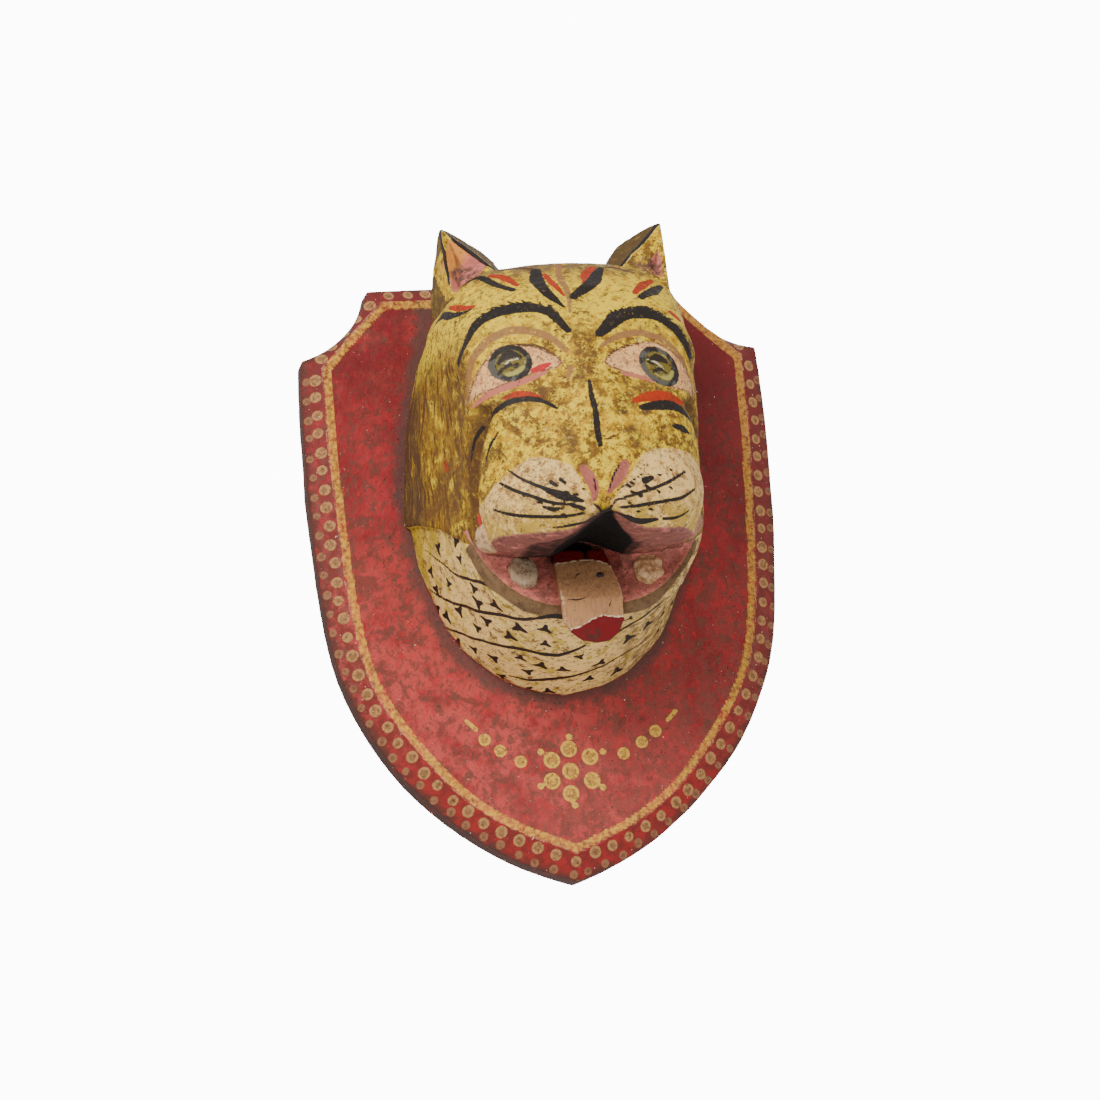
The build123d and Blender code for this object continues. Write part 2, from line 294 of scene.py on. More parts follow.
def sculpt_head():
    """The carved head: a lofted block with soft forms, a neck below the ruff and an open mouth."""
    clay = Clay((-100, -3, -90), (100, 190, 190), HEAD_PITCH, seed=7)
    x, w, z = clay.place
    side = np.abs(x)
    solid = common(loft(clay, BLOCK), w - HEAD_FRONT, 7)
    front = ease(w, 100, 125)

    # whisker pads and the wedge of the nose
    solid = union(solid, ellipsoid((side, w, z), (33, 143, 14), (36, 34, 28)), 10)
    solid = union(solid, ellipsoid(clay.place, (0, 166, 26), (17, 19, 20)), 6)

    # shallow forms are pushed in (+) or pulled out (-)
    push = 2.6 * hill((side - 46, 20), (z - 97, 12))
    push = push - 1.8 * hill((side - 48, 12), (z - 99, 9))
    push = push - 2.8 * hill((line_distance(side, z, BROW), 8))
    push = push - 3.0 * hill((x, 12)) * ease(z, 34, 50) * (1 - ease(z, 108, 126))
    push = push + 1.6 * hill((side - 22, 7)) * ease(z, 46, 60) * (1 - ease(z, 86, 100))
    push = push - 2.2 * hill((side - 50, 18), (z - 58, 12))
    push = push + 3.4 * hill((side, 5)) * (1 - ease(z, 0, 12))
    push = push + 1.2 * hill((z - 41, 2.5)) * hill((side, 26))
    push = push + 2.2 * hill((line_distance(side, z, NOSTRIL_GROOVE), 3.0))
    solid = solid + push * front
    solid = solid + 7.0 * hill((line_distance(w, z, CHEEK_GROOVE), 6.0)) * ease(side, 46, 60)
    solid = solid - 3.0 * hill((w - 92, 22), (z - 20, 34)) * ease(side, 50, 66)

    # the neck lies lower than the ruff, and the lip's band stands proud of it
    ruff = np.interp(clay.axes[1], *zip(*RUFF_EDGE)).astype(np.float32)[None, :, None]
    below = ease(ruff - z, -1.2, 1.2) * (1 - ease(w, 97, 100))
    flare = 2.8 * hill((np.clip(z - ruff, 0, None), 16)) * ease(side, 40, 60) * (1 - ease(w, 100, 116))
    solid = solid - flare * (1 - below) + 0.8 * below

    # the open mouth: a dished floor that ends at the lip, and a cavity behind it
    dish = common(mouth_floor(x, w, z), 62 - w, 2)
    arch = roof_height(x)
    ceiling = 3 + (arch - 3) * ease(w, 62, 112)
    gap = common(dish, z - ceiling, 7)
    behind = common(gap, mouth_side(x, w), 5)
    solid = cut(solid, behind, 2.5)
    under = common(LIP_FRONT - w, z - arch, 2)
    solid = cut(solid, under, 2.5)

    # lumps of filler at the lips' corners
    for centre in LIP_CORNERS:
        solid = union(solid, ellipsoid(clay.place, centre, (8.5, 10, 10)), 4)

    solid = solid + 0.8 * clay.lumps(16) + 0.35 * clay.lumps(6)
    solid = common(solid, -w - 0.4, 1.0)
    clay.field = common(solid, w - HEAD_FRONT, 3)
    return clay


PLAQUE_TOP = 203
TOP_CORNER_LEFT, TOP_CORNER_RIGHT = -110, 100
SHOULDER_LEFT, SHOULDER_RIGHT = (-129, 170.5), (120, 171.5)
FLANK = [(158, 155), (160, 80), (154, -28), (136, -92), (93, -152), (52, -184.5), (0, -208)]
BEVEL_DROP = 9.0
POCKET_HALF, POCKET_AT, POCKET_DEPTH = (23, 31), 128, 10
# The arris where the flat face meets the sloping border, clockwise from its top left corner.
ARRIS_FLANK = [(145, 147), (144.5, 79), (137.5, -28), (122, -84), (82, -140), (46, -169), (0, -190)]


def bow(start, middle, end, count=12):
    """Points along the circle through three points, without the last one."""
    a, b, c = (complex(*p) for p in (start, middle, end))
    k = (c - a) / (b - a)
    centre = (b - a) * (k - abs(k) ** 2) / (2j * k.imag) + a
    turn = np.angle((c - centre) / (a - centre))
    if np.sign(np.angle((b - centre) / (a - centre))) != np.sign(turn):
        turn -= math.copysign(2 * math.pi, turn)
    spots = centre + (a - centre) * np.exp(1j * turn * np.arange(count) / count)
    return [(float(p.real), float(p.imag)) for p in spots]


def plaque_outline():
    """The board's outline, clockwise from its top left corner."""
    flip = [(-px, pz) for px, pz in FLANK[::-1]]
    points = [(TOP_CORNER_LEFT + i * 10.0, float(PLAQUE_TOP)) for i in range(21)]
    points += bow((TOP_CORNER_RIGHT, PLAQUE_TOP), SHOULDER_RIGHT, FLANK[0])
    for run in (FLANK, flip):
        for first in (0, 2, 4):
            points += bow(*run[first : first + 3])
    return points + bow(flip[-1], SHOULDER_LEFT, (TOP_CORNER_LEFT, PLAQUE_TOP))


OUTLINE = plaque_outline()
flank_line = [tuple(p) for p in smooth_line(ARRIS_FLANK, 8)]
ARRIS = [(-101.0, 192.0), (98.0, 192.0), (123.0, 167.0), *flank_line]
ARRIS += [(-ax, az) for ax, az in flank_line[-2::-1]] + [(-125.5, 168.0)]


def sculpt_plaque():
    """The shield board: a flat face, a sloping border and a pocket for the hanger behind."""
    clay = Clay((-163, -32, -212), (163, 3, 206), PLAQUE_PITCH, seed=11)
    x, w, z = clay.place
    inset = line_distance(x, z, OUTLINE, closed=True)
    arris = line_distance(x, z, ARRIS, closed=True)
    wavy = inset + 0.35 + 0.4 * clay.lumps(30)
    solid = common(wavy, w + 0.25 * clay.lumps(40), 1.0)
    out = np.clip(arris, 0, None)
    fall = BEVEL_DROP * out / (out + np.clip(-inset, 0.5, None))
    solid = common(solid, (w + fall + 0.15) * 0.86, 1.0)
    solid = common(solid, -PLAQUE_T + 0.3 - w, 1.5)
    pocket = np.maximum(np.abs(x) - POCKET_HALF[0], np.abs(z - POCKET_AT) - POCKET_HALF[1])
    pocket = common(pocket, w + PLAQUE_T - POCKET_DEPTH, 1.0)
    solid = cut(solid, pocket, 1.0)
    nicks = clay.lumps(7) - 1.15
    clay.field = solid + 1.6 * np.clip(nicks, 0, 1) + 0.12 * clay.lumps(5)
    return clay


EAR_FRONT_VIEW = [
    (74, 214), (80, 172), (78, 146), (46, 146), (36, 182), (39, 193), (47, 204), (57, 211), (66, 214),
]
EAR_HOLLOWS = {
    -1: [(71, 209), (77, 190), (74, 164), (62, 163), (44, 186), (57, 201)],
    1: [(71, 200), (74, 186), (72, 169), (63, 172), (56, 181), (63, 191)],
}


def ear_plane(w, z, at, slope):
    """Signed distance to what lies ahead of a plane through (w, z), facing along slope."""
    return ((w - at[0]) * slope[0] + (z - at[1]) * slope[1]) / math.hypot(*slope)


def ear_front(w, z):
    return ear_plane(w, z, (106, 168), (48, 15))


def sculpt_ear(mirror, seed):
    """A pointed wedge with a hollow in its front face; mirror is -1 for the viewer's left one."""
    near, far = sorted((34 * mirror, 90 * mirror))
    clay = Clay((near, 54, 144), (far, 110, 218), EAR_PITCH, seed)
    x, w, z = clay.place
    across = mirror * x
    solid = line_distance(across, z, EAR_FRONT_VIEW, closed=True)
    rear = ((58 - w) * 40 + (z - 176) * 26) / math.hypot(40, 26)
    front = ear_front(w, z)
    solid = common(common(solid, rear, 2.0), front, 1.6)
    solid = common(solid, 58.5 - w, 2.0)
    leaf = (0.707 * (z - 213 - across + 74) + 0.7 * front) / 1.22
    solid = common(solid, leaf, 1.2)
    solid = common(solid, (across - 79.2 + 0.14 * (w - 58)) * 0.99, 1.6)
    rim = line_distance(across, z, EAR_HOLLOWS[mirror], closed=True)
    dish = (-front - 0.85 * np.clip(-rim, 0, 12)) * 0.7
    solid = cut(solid, dish, 1.0)
    clay.field = solid + 0.45 * clay.lumps(9) + 0.2 * clay.lumps(3)
    return clay


TONGUE_LINE = [(60, -3), (88, -9), (110.5, -44), (112, -78)]  # w, z of the slab's middle
TONGUE_OUTLINE = [
    (-17, 2), (-18, -10), (-19.5, -28), (-20, -45), (-19.5, -58), (-15, -65), (-8, -70.5), (1, -72),
    (10, -71), (16, -66), (19.5, -58), (20.3, -45), (20, -31), (17.5, -18), (16, -10), (15, 2),
]


def sculpt_tongue():
    """The slab that bends out over the lip, a little thicker where the paint still lies."""
    clay = Clay((-24, 58, -76), (24, 120, 4), TONGUE_PITCH, seed=23)
    x, w, z = clay.place
    slab = line_distance(w, z, TONGUE_LINE) - 3.4
    solid = common(slab, line_distance(x, z, TONGUE_OUTLINE, closed=True), 1.6)
    wood = np.maximum(-58 + 2.5 * np.sin(x / 6) - z, z + 12 + 0.004 * (x + 4) ** 2)
    bare = 1 - ease(wood, -0.5, 0.5)
    solid = solid + 0.5 * (1 - bare) * ease(-z, 20, 50)
    groove = hill((x - 3, 2.0)) * ease(z, -14, -8)
    fold = hill((z + 43.5, 0.8)) * ease(-x, 0, 12)
    clay.field = solid + 1.4 * groove + 0.7 * fold + 0.35 * clay.lumps(9) + 0.18 * clay.lumps(2.5)
    return clay


CANINE_AT = (41.5, 97.0, -24.0)
CANINE_LEAN = (0.0, 0.86, 0.51)
CANINE_RADIUS, CANINE_TIP, CANINE_ROOT = 9.9, 8.8, 12.5


def sculpt_canine(mirror, seed):
    """A whittled peg with a blunt, knobbly end."""
    centre = np.array(CANINE_AT) * (mirror, 1, 1)
    clay = Clay(centre - 17, centre + 17, PEG_PITCH, seed)
    offset = [p - c for p, c in zip(clay.place, centre)]
    along = offset[1] * CANINE_LEAN[1] + offset[2] * CANINE_LEAN[2]
    upward = offset[1] * -CANINE_LEAN[2] + offset[2] * CANINE_LEAN[1]
    rho = np.hypot(offset[0], 0.88 * upward)
    turn = np.arctan2(offset[0], upward)
    facets = 0.3 * np.cos(turn * 7) + 0.4 * np.cos(turn * 2 + seed)
    solid = common(rho - CANINE_RADIUS + facets, along - CANINE_TIP, 3.6)
    solid = common(solid, -CANINE_ROOT - along, 1.0)
    clay.field = solid + 0.7 * clay.lumps(5) + 0.3 * clay.lumps(2)
    return clay


NAIL_SEAT = np.array((9.0, 102.5, -26.1))
NAIL_LEAN = np.array((0, 0.8374, 0.5466))
NAIL_HEAD_RADIUS, NAIL_RADIUS, NAIL_LENGTH = 3.1, 1.1, 25.5


def sculpt_nail():
    """A slightly domed head and a tapering shank that runs through the tongue into the jaw."""
    clay = Clay(NAIL_SEAT - (5, 26, 18), NAIL_SEAT + (5, 5, 5), NAIL_PITCH, seed=31)
    offset = [p - c for p, c in zip(clay.place, NAIL_SEAT)]
    along = offset[1] * NAIL_LEAN[1] + offset[2] * NAIL_LEAN[2]
    rho = np.sqrt(np.maximum(sum(o * o for o in offset) - along**2, 0))
    head_disc = common(rho - NAIL_HEAD_RADIUS, along - 1.15 + 0.07 * rho**2, 0.6)
    head_disc = common(head_disc, 0.1 - along, 0.3)
    taper = rho - NAIL_RADIUS - 0.03 * along
    shank = common(taper, np.maximum(along - 0.6, -NAIL_LENGTH - along), 0.4)
    clay.field = union(head_disc, shank, 0.5) + 0.12 * clay.lumps(1.6)
    return clay


# ---- painted strokes by colour: widths along each, then its (x, w, z) points ----
STROKES = {
    "brow": [
        ((5, 9, 10.5, 9.5, 7.5, 3.5), [(-12, 167, 120), (-23, 155, 137), (-43, 151, 141), (-63, 145, 135),
         (-74, 141, 120), (-78, 134, 109)]),
        ((6.5, 10.5, 9, 7, 5, 3), [(8, 170, 117), (25, 160, 131), (43, 156, 133), (57, 152, 128),
         (67, 150, 115), (72, 145, 104)]),
    ],
    "black": [
        ((3.6, 0.8), [(-33, 152, 141), (-36, 146, 148)]),
        ((3.6, 0.8), [(-24, 155, 138), (-27, 150, 144)]),
        ((3, 0.8), [(-51, 147, 141), (-58, 143, 143)]),
        ((2.7, 0.8), [(-62, 145, 136), (-69, 142, 136)]),
        ((2.4, 0.6), [(-71, 143, 128), (-77, 139, 125)]),
        ((3, 0.8), [(25, 160, 132), (22, 157, 137)]),
        ((2.7, 0.8), [(36, 158, 134), (35, 154, 139)]),
        ((7.1, 10, 8.1, 6.2, 1.6), [(-19, 118, 174), (-21, 131, 163), (-19, 142, 154), (-15, 147, 147),
         (-10, 153, 140)]),
        ((4.3, 5.2, 5.2, 4.9), [(-63, 105, 168), (-54, 110, 172), (-47, 127, 163), (-39, 136, 157)]),
        ((1.6, 5.2, 5.9, 3.9, 1.6), [(-80, 78, 152), (-77, 93, 153), (-74, 113, 147), (-70, 125, 146),
         (-66, 131, 147)]),
        ((5.9, 7.9, 9.8, 8.2, 4.3), [(-2, 148, 148), (6, 143, 154), (14, 136, 160), (20, 125, 169),
         (25, 117, 175)]),
        ((4.7, 8, 3.6), [(43, 146, 147), (54, 132, 154), (64, 115, 162)]),
        ((2.2, 3.8, 4.2, 3.8, 3.2, 2.4, 1.2), [(-26, 177, 67), (-38, 174, 74), (-51, 168, 75),
         (-61, 162, 71), (-69, 150, 65), (-74, 138, 57), (-76, 130, 46)]),
        ((4.2, 6.7, 7.4, 6.3, 2.9), [(29, 178, 65), (39, 174, 67), (49, 169, 68), (58, 165, 66),
         (65, 158, 60)]),
        ((3.2, 4.5, 1.8), [(50, 171, 54), (56, 168, 53), (62, 161, 51)]),
        ((2.5, 3.4, 3.9, 4.2, 3.4), [(-4, 180, 83), (-4, 182, 73), (-3, 186, 61), (-3, 187, 50),
         (-2, 186, 40)]),
        ((1.2, 2.2, 1), [(-61, 164, 57), (-67, 156, 50), (-70, 150, 41)]),
        ((0.8, 0.5), [(-89, 44, 40), (-91, 25, 33)]),
    ],
    "orange": [
        ((3.2, 5, 2.2), [(-14, 122, 170), (-12, 137, 159), (-8, 147, 149)]),
        ((4, 6.5, 3.4), [(-48, 114, 173), (-41, 121, 169), (-35, 132, 161)]),
        ((2.5, 5, 2.9), [(-75, 106, 155), (-70, 121, 150), (-64, 131, 148)]),
        ((5, 6.8, 5.4), [(9, 138, 159), (13, 124, 170), (19, 117, 176)]),
        ((4, 6.8, 3.2), [(40, 143, 151), (49, 129, 160), (58, 116, 166)]),
        ((5, 4.7), [(63, 143, 137), (68, 141, 133)]),
        ((2.3, 4.9, 4.4, 1.8), [(-57, 164, 78), (-49, 168, 79), (-42, 171, 78), (-35, 174, 75)]),
        ((3.9, 7.4, 7.4, 3), [(25, 177, 70), (36, 173, 73), (47, 169, 74), (60, 162, 71)]),
        ((3, 4), [(-83, 91, 56), (-83, 95, 50)]),
    ],
    "brown": [
        ((2.4, 4.2, 4.2), [(-42, 112, 178), (-30, 113, 180), (-17, 117, 176)]),
        ((2.5, 3.1, 1.4), [(25, 117, 176), (34, 114, 176), (42, 116, 171)]),
        ((1.4, 2, 1.2), [(1, 186, 43), (6, 187, 44), (10, 187, 46)]),
        ((0.9, 2, 1.8, 0.8), [(-50, 164, 115), (-40, 165, 113), (-30, 168, 110), (-20, 171, 101)]),
        ((0.8, 1.9, 1.6, 0.8), [(8, 174, 97), (15, 172, 104), (26, 168, 109), (38, 163, 112)]),
        ((1.2, 2.6, 1.2), [(-70, 143, 63), (-74, 135, 55), (-77, 122, 44)]),
        ((2.1, 6, 6.2, 2.6), [(-84, 20, 140), (-88, 14, 116), (-92, 10, 92), (-94, 14, 70)]),
        ((1.8, 4.7, 1.8), [(-84, 68, 122), (-87, 61, 100), (-90, 48, 80)]),
    ],
    "mauve": [
        ((3.1, 5.8, 6.5, 6.1, 5.1, 3.1), [(-15, 171, 106), (-26, 165, 118), (-46, 157, 124), (-65, 152, 116),
         (-74, 143, 101), (-76, 138, 82)]),
        ((2.7, 4.8, 5.4, 5.4, 4.8, 3.1), [(8, 173, 108), (22, 166, 116), (39, 161, 118), (54, 158, 112),
         (66, 152, 99), (71, 147, 84)]),
        ((4.8, 4.2, 4.2, 2), [(-2, 112, 182), (-6, 131, 166), (-5, 146, 150), (-7, 156, 135)]),
        ((3.4, 2.6), [(-14, 175, 94), (-17, 176, 86)]),
    ],
    "lid": [
        ((2.4, 4.5, 4.5, 4.5, 2.7), [(-29, 170, 92), (-43, 168, 88), (-58, 162, 84), (-69, 151, 81),
         (-74, 143, 79)]),
        ((2.1, 3.3, 2.1), [(19, 174, 89), (30, 172, 87), (40, 170, 84)]),
    ],
    "red": [
        ((3.4, 5.2, 2.1), [(-37, 168, 94), (-31, 169, 96), (-26, 170, 98)]),
        ((1.6, 2.8, 1.2), [(-75, 134, 16), (-73, 122, 11), (-73, 120, 6)]),
    ],
    "line": [
        ((1.3, 1.9, 2.5, 5.9, 2.1), [(-59, 166, 31), (-51, 174, 22), (-40, 179, 15), (-29, 182, 9),
         (-16, 185, 4)]),
        ((1.8, 2.4, 2.4, 2.4, 1.8), [(-65, 162, 24), (-57, 172, 16), (-46, 177, 10), (-34, 179, 5),
         (-22, 182, 3)]),
        ((3.1, 1.8), [(-22, 182, 2), (-15, 183, 0)]),
        ((1.8, 2.4, 2.4, 2.4, 1.8), [(-69, 154, 8), (-61, 163, 3), (-49, 171, -1), (-30, 178, -4),
         (-15, 182, -3)]),
        ((1.3, 2.1, 2.1, 2.5), [(-33, 170, -8), (-24, 174, -8), (-15, 177, -7), (-7, 180, -5)]),
        ((1.8, 3.1, 1.3), [(-40, 177, 3), (-34, 178, 1), (-28, 180, 1)]),
        ((2.8, 2.1), [(-35, 181, 18), (-31, 182, 15)]),
        ((2.8, 1.8), [(-29, 183, 19), (-26, 184, 16)]),
        ((1.8, 2.4, 2.4, 2.4, 1.8), [(5, 183, 4), (14, 186, 6), (27, 183, 10), (40, 180, 15), (55, 171, 24)]),
        ((1.8, 2.4, 2.4, 2.4, 1.8), [(6, 184, -1), (18, 183, 0), (35, 179, 3), (50, 175, 6), (61, 168, 13)]),
        ((1.8, 4.5, 4.8, 1.8), [(5, 181, -3), (12, 180, -6), (21, 175, -7), (33, 174, -7)]),
        ((2.1, 2.1, 1.3), [(37, 174, -7), (47, 171, -6), (56, 167, -1)]),
        ((0.9, 1.6, 0.9), [(6, 182, 10), (15, 185, 15), (26, 183, 22)]),
        ((5, 3.1), [(25, 183, 16), (30, 182, 18)]),
        ((2.2, 1.3), [(14, 186, 12), (18, 185, 14)]),
        ((1.3, 3.1, 1.3), [(-9, 185, 2), (-2, 178, -3), (4, 184, 3)]),
        ((1.6, 1.9, 1.3), [(10, 186, 27), (5, 186, 20), (1, 185, 10)]),
        ((1.3, 1.3), [(-8, 185, 19), (-7, 183, 11)]),
        ((1.2, 1.8, 2.1, 2.8, 3.1), [(-90, 22, 14), (-84, 46, 0), (-75, 58, -10), (-66, 83, -20),
         (-61, 98, -28)]),
        ((1.6, 2.4, 2.8, 3.4, 3.8, 3.8), [(-84, 4, -8), (-73, 30, -22), (-57, 69, -39), (-40, 90, -47),
         (-28, 105, -52), (-18, 107, -54)]),
        ((1.8, 2.4, 2.8, 3.8, 3.8, 2.4), [(-75, 1, -34), (-58, 31, -48), (-38, 54, -60), (-19, 61, -66),
         (-10, 66, -66), (0, 76, -63)]),
        ((1.6, 3.4, 3.6, 3, 2.4, 1.6), [(-38, 10, -69), (-20, 19, -74), (0, 34, -75), (18, 40, -71),
         (34, 45, -63), (49, 40, -55)]),
        ((3.4, 3.2, 3, 2.6, 2), [(20, 82, -61), (32, 88, -57), (44, 92, -50), (55, 94, -41), (63, 96, -31),
         (68, 98, -21)]),
    ],
    "nostril": [
        ((5.6, 8, 7, 3.1), [(-14, 183, 25), (-10, 183, 18), (-8, 184, 10), (-9, 185, 5)]),
        ((6.2, 8, 6, 2.5), [(13, 183, 27), (9, 184, 20), (4, 185, 13), (1, 185, 9)]),
    ],
}
# Broad smears of brown, partly grime and partly painted shade about the brows, eyes, cheeks and ruff: width,
# then (x, w, z) points.
SMEARS = [
    (13, [(-6, 167, 118), (-4, 174, 98), (-10, 177, 84)]),
    (12, [(-64, 158, 74), (-48, 168, 76), (-28, 175, 78)]),
    (14, [(-78, 140, 112), (-79, 128, 84), (-78, 120, 60)]),
    (16, [(-56, 128, 164), (-72, 124, 150), (-79, 118, 132)]),
    (12, [(24, 177, 80), (44, 171, 76), (62, 160, 68)]),
    (11, [(-75, 138, 34), (-70, 148, 42), (-62, 160, 44)]),
    (17, [(-84, 112, 36), (-86, 98, 24), (-84, 90, 16)]),
    (17, [(-86, 100, 52), (-88, 78, 36), (-90, 52, 32)]),
    (14, [(-82, 118, 62), (-84, 114, 48), (-82, 116, 34)]),
    (9, [(-20, 178, 52), (-20, 181, 38), (-16, 183, 28)]),
    (9, [(20, 180, 50), (22, 181, 38)]),
    (12, [(2, 160, 132), (-2, 146, 150), (-4, 130, 166)]),
    (12, [(60, 160, 130), (72, 148, 116), (77, 138, 96)]),
]
WHISKER_DOTS = [
    (-27, 183, 11), (-33, 182, 8), (-38, 180, 12), (-44, 178, 6), (-21, 184, 9), (-30, 180, -3),
    (-46, 176, 18), (-52, 173, 12), (12, 186, 2), (20, 184, 6), (33, 182, 9), (27, 181, -2), (41, 179, 12),
    (18, 182, -3), (34, 180, 20), (42, 178, 24), (24, 184, 13), (15, 185, 9), (-16, 184, 12),
    (-19, 184, -1),
]
# Middles of the paw prints on the neck.
SPOTS = [
    (-81, 85, 5), (-85, 50, 9), (-78, 78, -6), (-84, 21, 0), (-76, 41, -12), (-80, 17, -11), (-66, 73, -23),
    (-63, 66, -31), (-81, 4, -22), (-74, 12, -28), (-69, 33, -29), (-56, 83, -37), (-58, 58, -42),
    (-61, 41, -43), (-41, 77, -51), (-44, 62, -53), (-27, 88, -55), (-24, 72, -61), (-68, 2, -45),
    (-59, 14, -51), (-48, 23, -59), (-35, 43, -64), (-22, 42, -69), (-8, 44, -72), (-1, 64, -69),
    (-41, 5, -68), (-28, 28, -70), (-24, 2, -76), (-11, 5, -79), (15, 48, -70), (32, 19, -71),
    (26, 97, -53), (56, 60, -43), (43, 71, -51), (31, 68, -59), (62, 30, -52), (70, 45, -36), (74, 20, -30),
    (66, 78, -30), (80, 60, -10), (84, 30, -6), (12, 24, -76),
]
# Outlines in front view, as (x, z).
LEFT_EYE = [
    (-18, 98), (-21, 103), (-30, 109), (-37, 112), (-50, 114), (-59, 112), (-68, 102), (-73, 92), (-76, 82),
    (-69, 84), (-61, 85), (-50, 88), (-41, 91), (-29, 93), (-21, 95),
]
RIGHT_EYE = [
    (7, 96), (14, 104), (25, 109), (37, 112), (47, 112), (57, 107), (65, 99), (71, 88), (71, 79), (62, 80),
    (53, 80), (43, 84), (30, 87), (19, 90), (10, 93),
]
LEFT_PAD = [
    (-45, 36), (-52, 32), (-59, 28), (-67, 22), (-74, 12), (-74, -2), (-68, -12), (-40, -18), (-10, -14),
    (-3, -3), (-9, 2), (-13, 10), (-17, 19), (-21, 27), (-29, 31), (-38, 35),
]
RIGHT_PAD = [
    (25, 33), (34, 37), (48, 39), (62, 38), (72, 30), (74, 10), (70, -8), (44, -18), (10, -14), (0, -2),
    (3, 4), (10, 12), (18, 23),
]


def nearest_on(obj):
    """A function that moves points (x, w, z) to the nearest place on a piece's skin."""
    corners = [v.co for v in obj.data.vertices]
    tree = BVHTree.FromPolygons(corners, [tuple(p.vertices) for p in obj.data.polygons])

    def snap(points):
        found = np.array([tree.find_nearest(Vector(p))[0] for p in row_frame(points)]) / MM
        return np.column_stack([found[:, 0], -found[:, 1] - PLAQUE_T, found[:, 2]])

    return snap


def half_widths(line, widths):
    """Half of a stroke's width at each point of its line."""
    return np.interp(np.linspace(0, 1, len(line)), np.linspace(0, 1, len(widths)), widths) / 2


def stroke_distance(place, snap, strokes):
    """Distance from each point to the nearest stroke's edge, below 0 under the paint."""
    best = np.full(len(place), FAR, np.float32)
    for widths, points in strokes:
        line = snap(smooth_line(points))
        half = half_widths(line, widths)
        near = np.all((place > line.min(0) - 9) & (place < line.max(0) + 9), axis=1)
        spots = place[near]
        if not len(spots):
            continue
        found = np.full(len(spots), FAR)
        for a, b, ha, hb in zip(line, line[1:], half, half[1:]):
            run = b - a
            t = np.clip((spots - a) @ run / max(run @ run, 1e-9), 0, 1)
            gap = np.linalg.norm(spots - a - t[:, None] * run, axis=1) - (ha + (hb - ha) * t)
            found = np.minimum(found, gap)
        best[near] = np.minimum(best[near], found)
    return best


def ellipse_distance(px, pz, centre, radii, turn):
    """Distance in front view to a turned ellipse, below 0 within it."""
    dx, dz = px - centre[0], pz - centre[1]
    along = (dx * math.cos(turn) + dz * math.sin(turn)) / radii[0]
    across = (dz * math.cos(turn) - dx * math.sin(turn)) / radii[1]
    return (np.hypot(along, across) - 1) * (radii[0] + radii[1]) / 2


def paw_prints(place, snap, rng):
    """Little marks of three short lobes, dabbed with a round brush."""
    strokes = []
    for spot in SPOTS:
        size = rng.uniform(0.8, 1.25)
        start = rng.uniform(0, 1.2)
        outward = np.array([spot[0] / 90, 0.15, -0.8])
        outward /= np.linalg.norm(outward)
        level = np.cross(outward, (0, 1, 0))
        level /= np.linalg.norm(level)
        other = np.cross(outward, level)
        for turn in (start, start + 2.0, start + 4.1):
            tip = np.array(spot) + size * 4.4 * (math.cos(turn) * level + math.sin(turn) * other)
            strokes.append(((4.2 * size, 2.3 * size), [spot, tuple(tip)]))
    return stroke_distance(place, snap, strokes)


def fringe(points, widths, turn, rng):
    """Short hairs that leave a brow's upper edge and lean towards its tail."""
    line = smooth_line(points, 4.4)
    hairs = []
    for a, b, reach in list(zip(line, line[1:], half_widths(line, widths)))[3:]:
        run = (b - a) / np.linalg.norm(b - a)
        out = turn * np.array((run[2], 0, -run[0]))
        root = a + out * reach * 0.5
        tip = root + out * (reach * 0.5 + rng.uniform(3.5, 7.0)) + run * rng.uniform(6.0, 11.0)
        hairs.append(((3.4, 1.0), [tuple(root), tuple(tip)]))
    return hairs


EYE_STROKES = {
    "glint": [
        ((1.2, 1.6, 1.0), [(-53, 160, 100), (-48, 162, 103), (-41, 164, 103)]),
        ((1.0, 1.4, 0.8), [(38, 165, 99), (44, 164, 97), (50, 164, 91)]),
    ],
    "pupil": [
        ((3.0, 6.5, 4.0), [(-57, 160, 102), (-51, 161, 107), (-44, 162, 104)]),
        ((2.0, 3.0, 1.0), [(-58, 160, 95), (-52, 161, 99), (-46, 162, 98)]),
        ((3.0, 6.0, 3.0), [(39, 166, 98), (45, 165, 101), (51, 163, 98)]),
        ((2.0, 3.0, 1.0), [(41, 167, 91), (46, 166, 93), (50, 164, 90)]),
    ],
    "iris_pale": [
        ((1.5, 4.0, 3.0), [(-54, 162, 94), (-48, 163, 93), (-42, 165, 97)]),
        ((1.5, 3.4, 2.4), [(44, 168, 88), (51, 165, 87), (55, 162, 92)]),
    ],
}


def paint_strokes(obj, place, snap):
    """Every brush stroke on the head, one layer for each colour."""
    rng = np.random.default_rng(8)
    groups = {colour: list(strokes) for colour, strokes in STROKES.items()}
    brows = groups.pop("brow")
    groups["black"] += brows
    for turn, (widths, points) in zip((1, -1), brows):
        groups["black"] += fringe(points, widths, turn, rng)
    for x, w, z in WHISKER_DOTS:
        groups["line"].append(((1.2, 2.2, 0.8), [(x, w, z), (x + 3.2, w, z - 0.8)]))
    groups["smears"] = [((width * 0.6, width, width * 0.5), line) for width, line in SMEARS]
    for label, strokes in (groups | EYE_STROKES).items():
        store(obj, **{label: stroke_distance(place, snap, strokes)})
    store(obj, paws=paw_prints(place, snap, np.random.default_rng(5)))


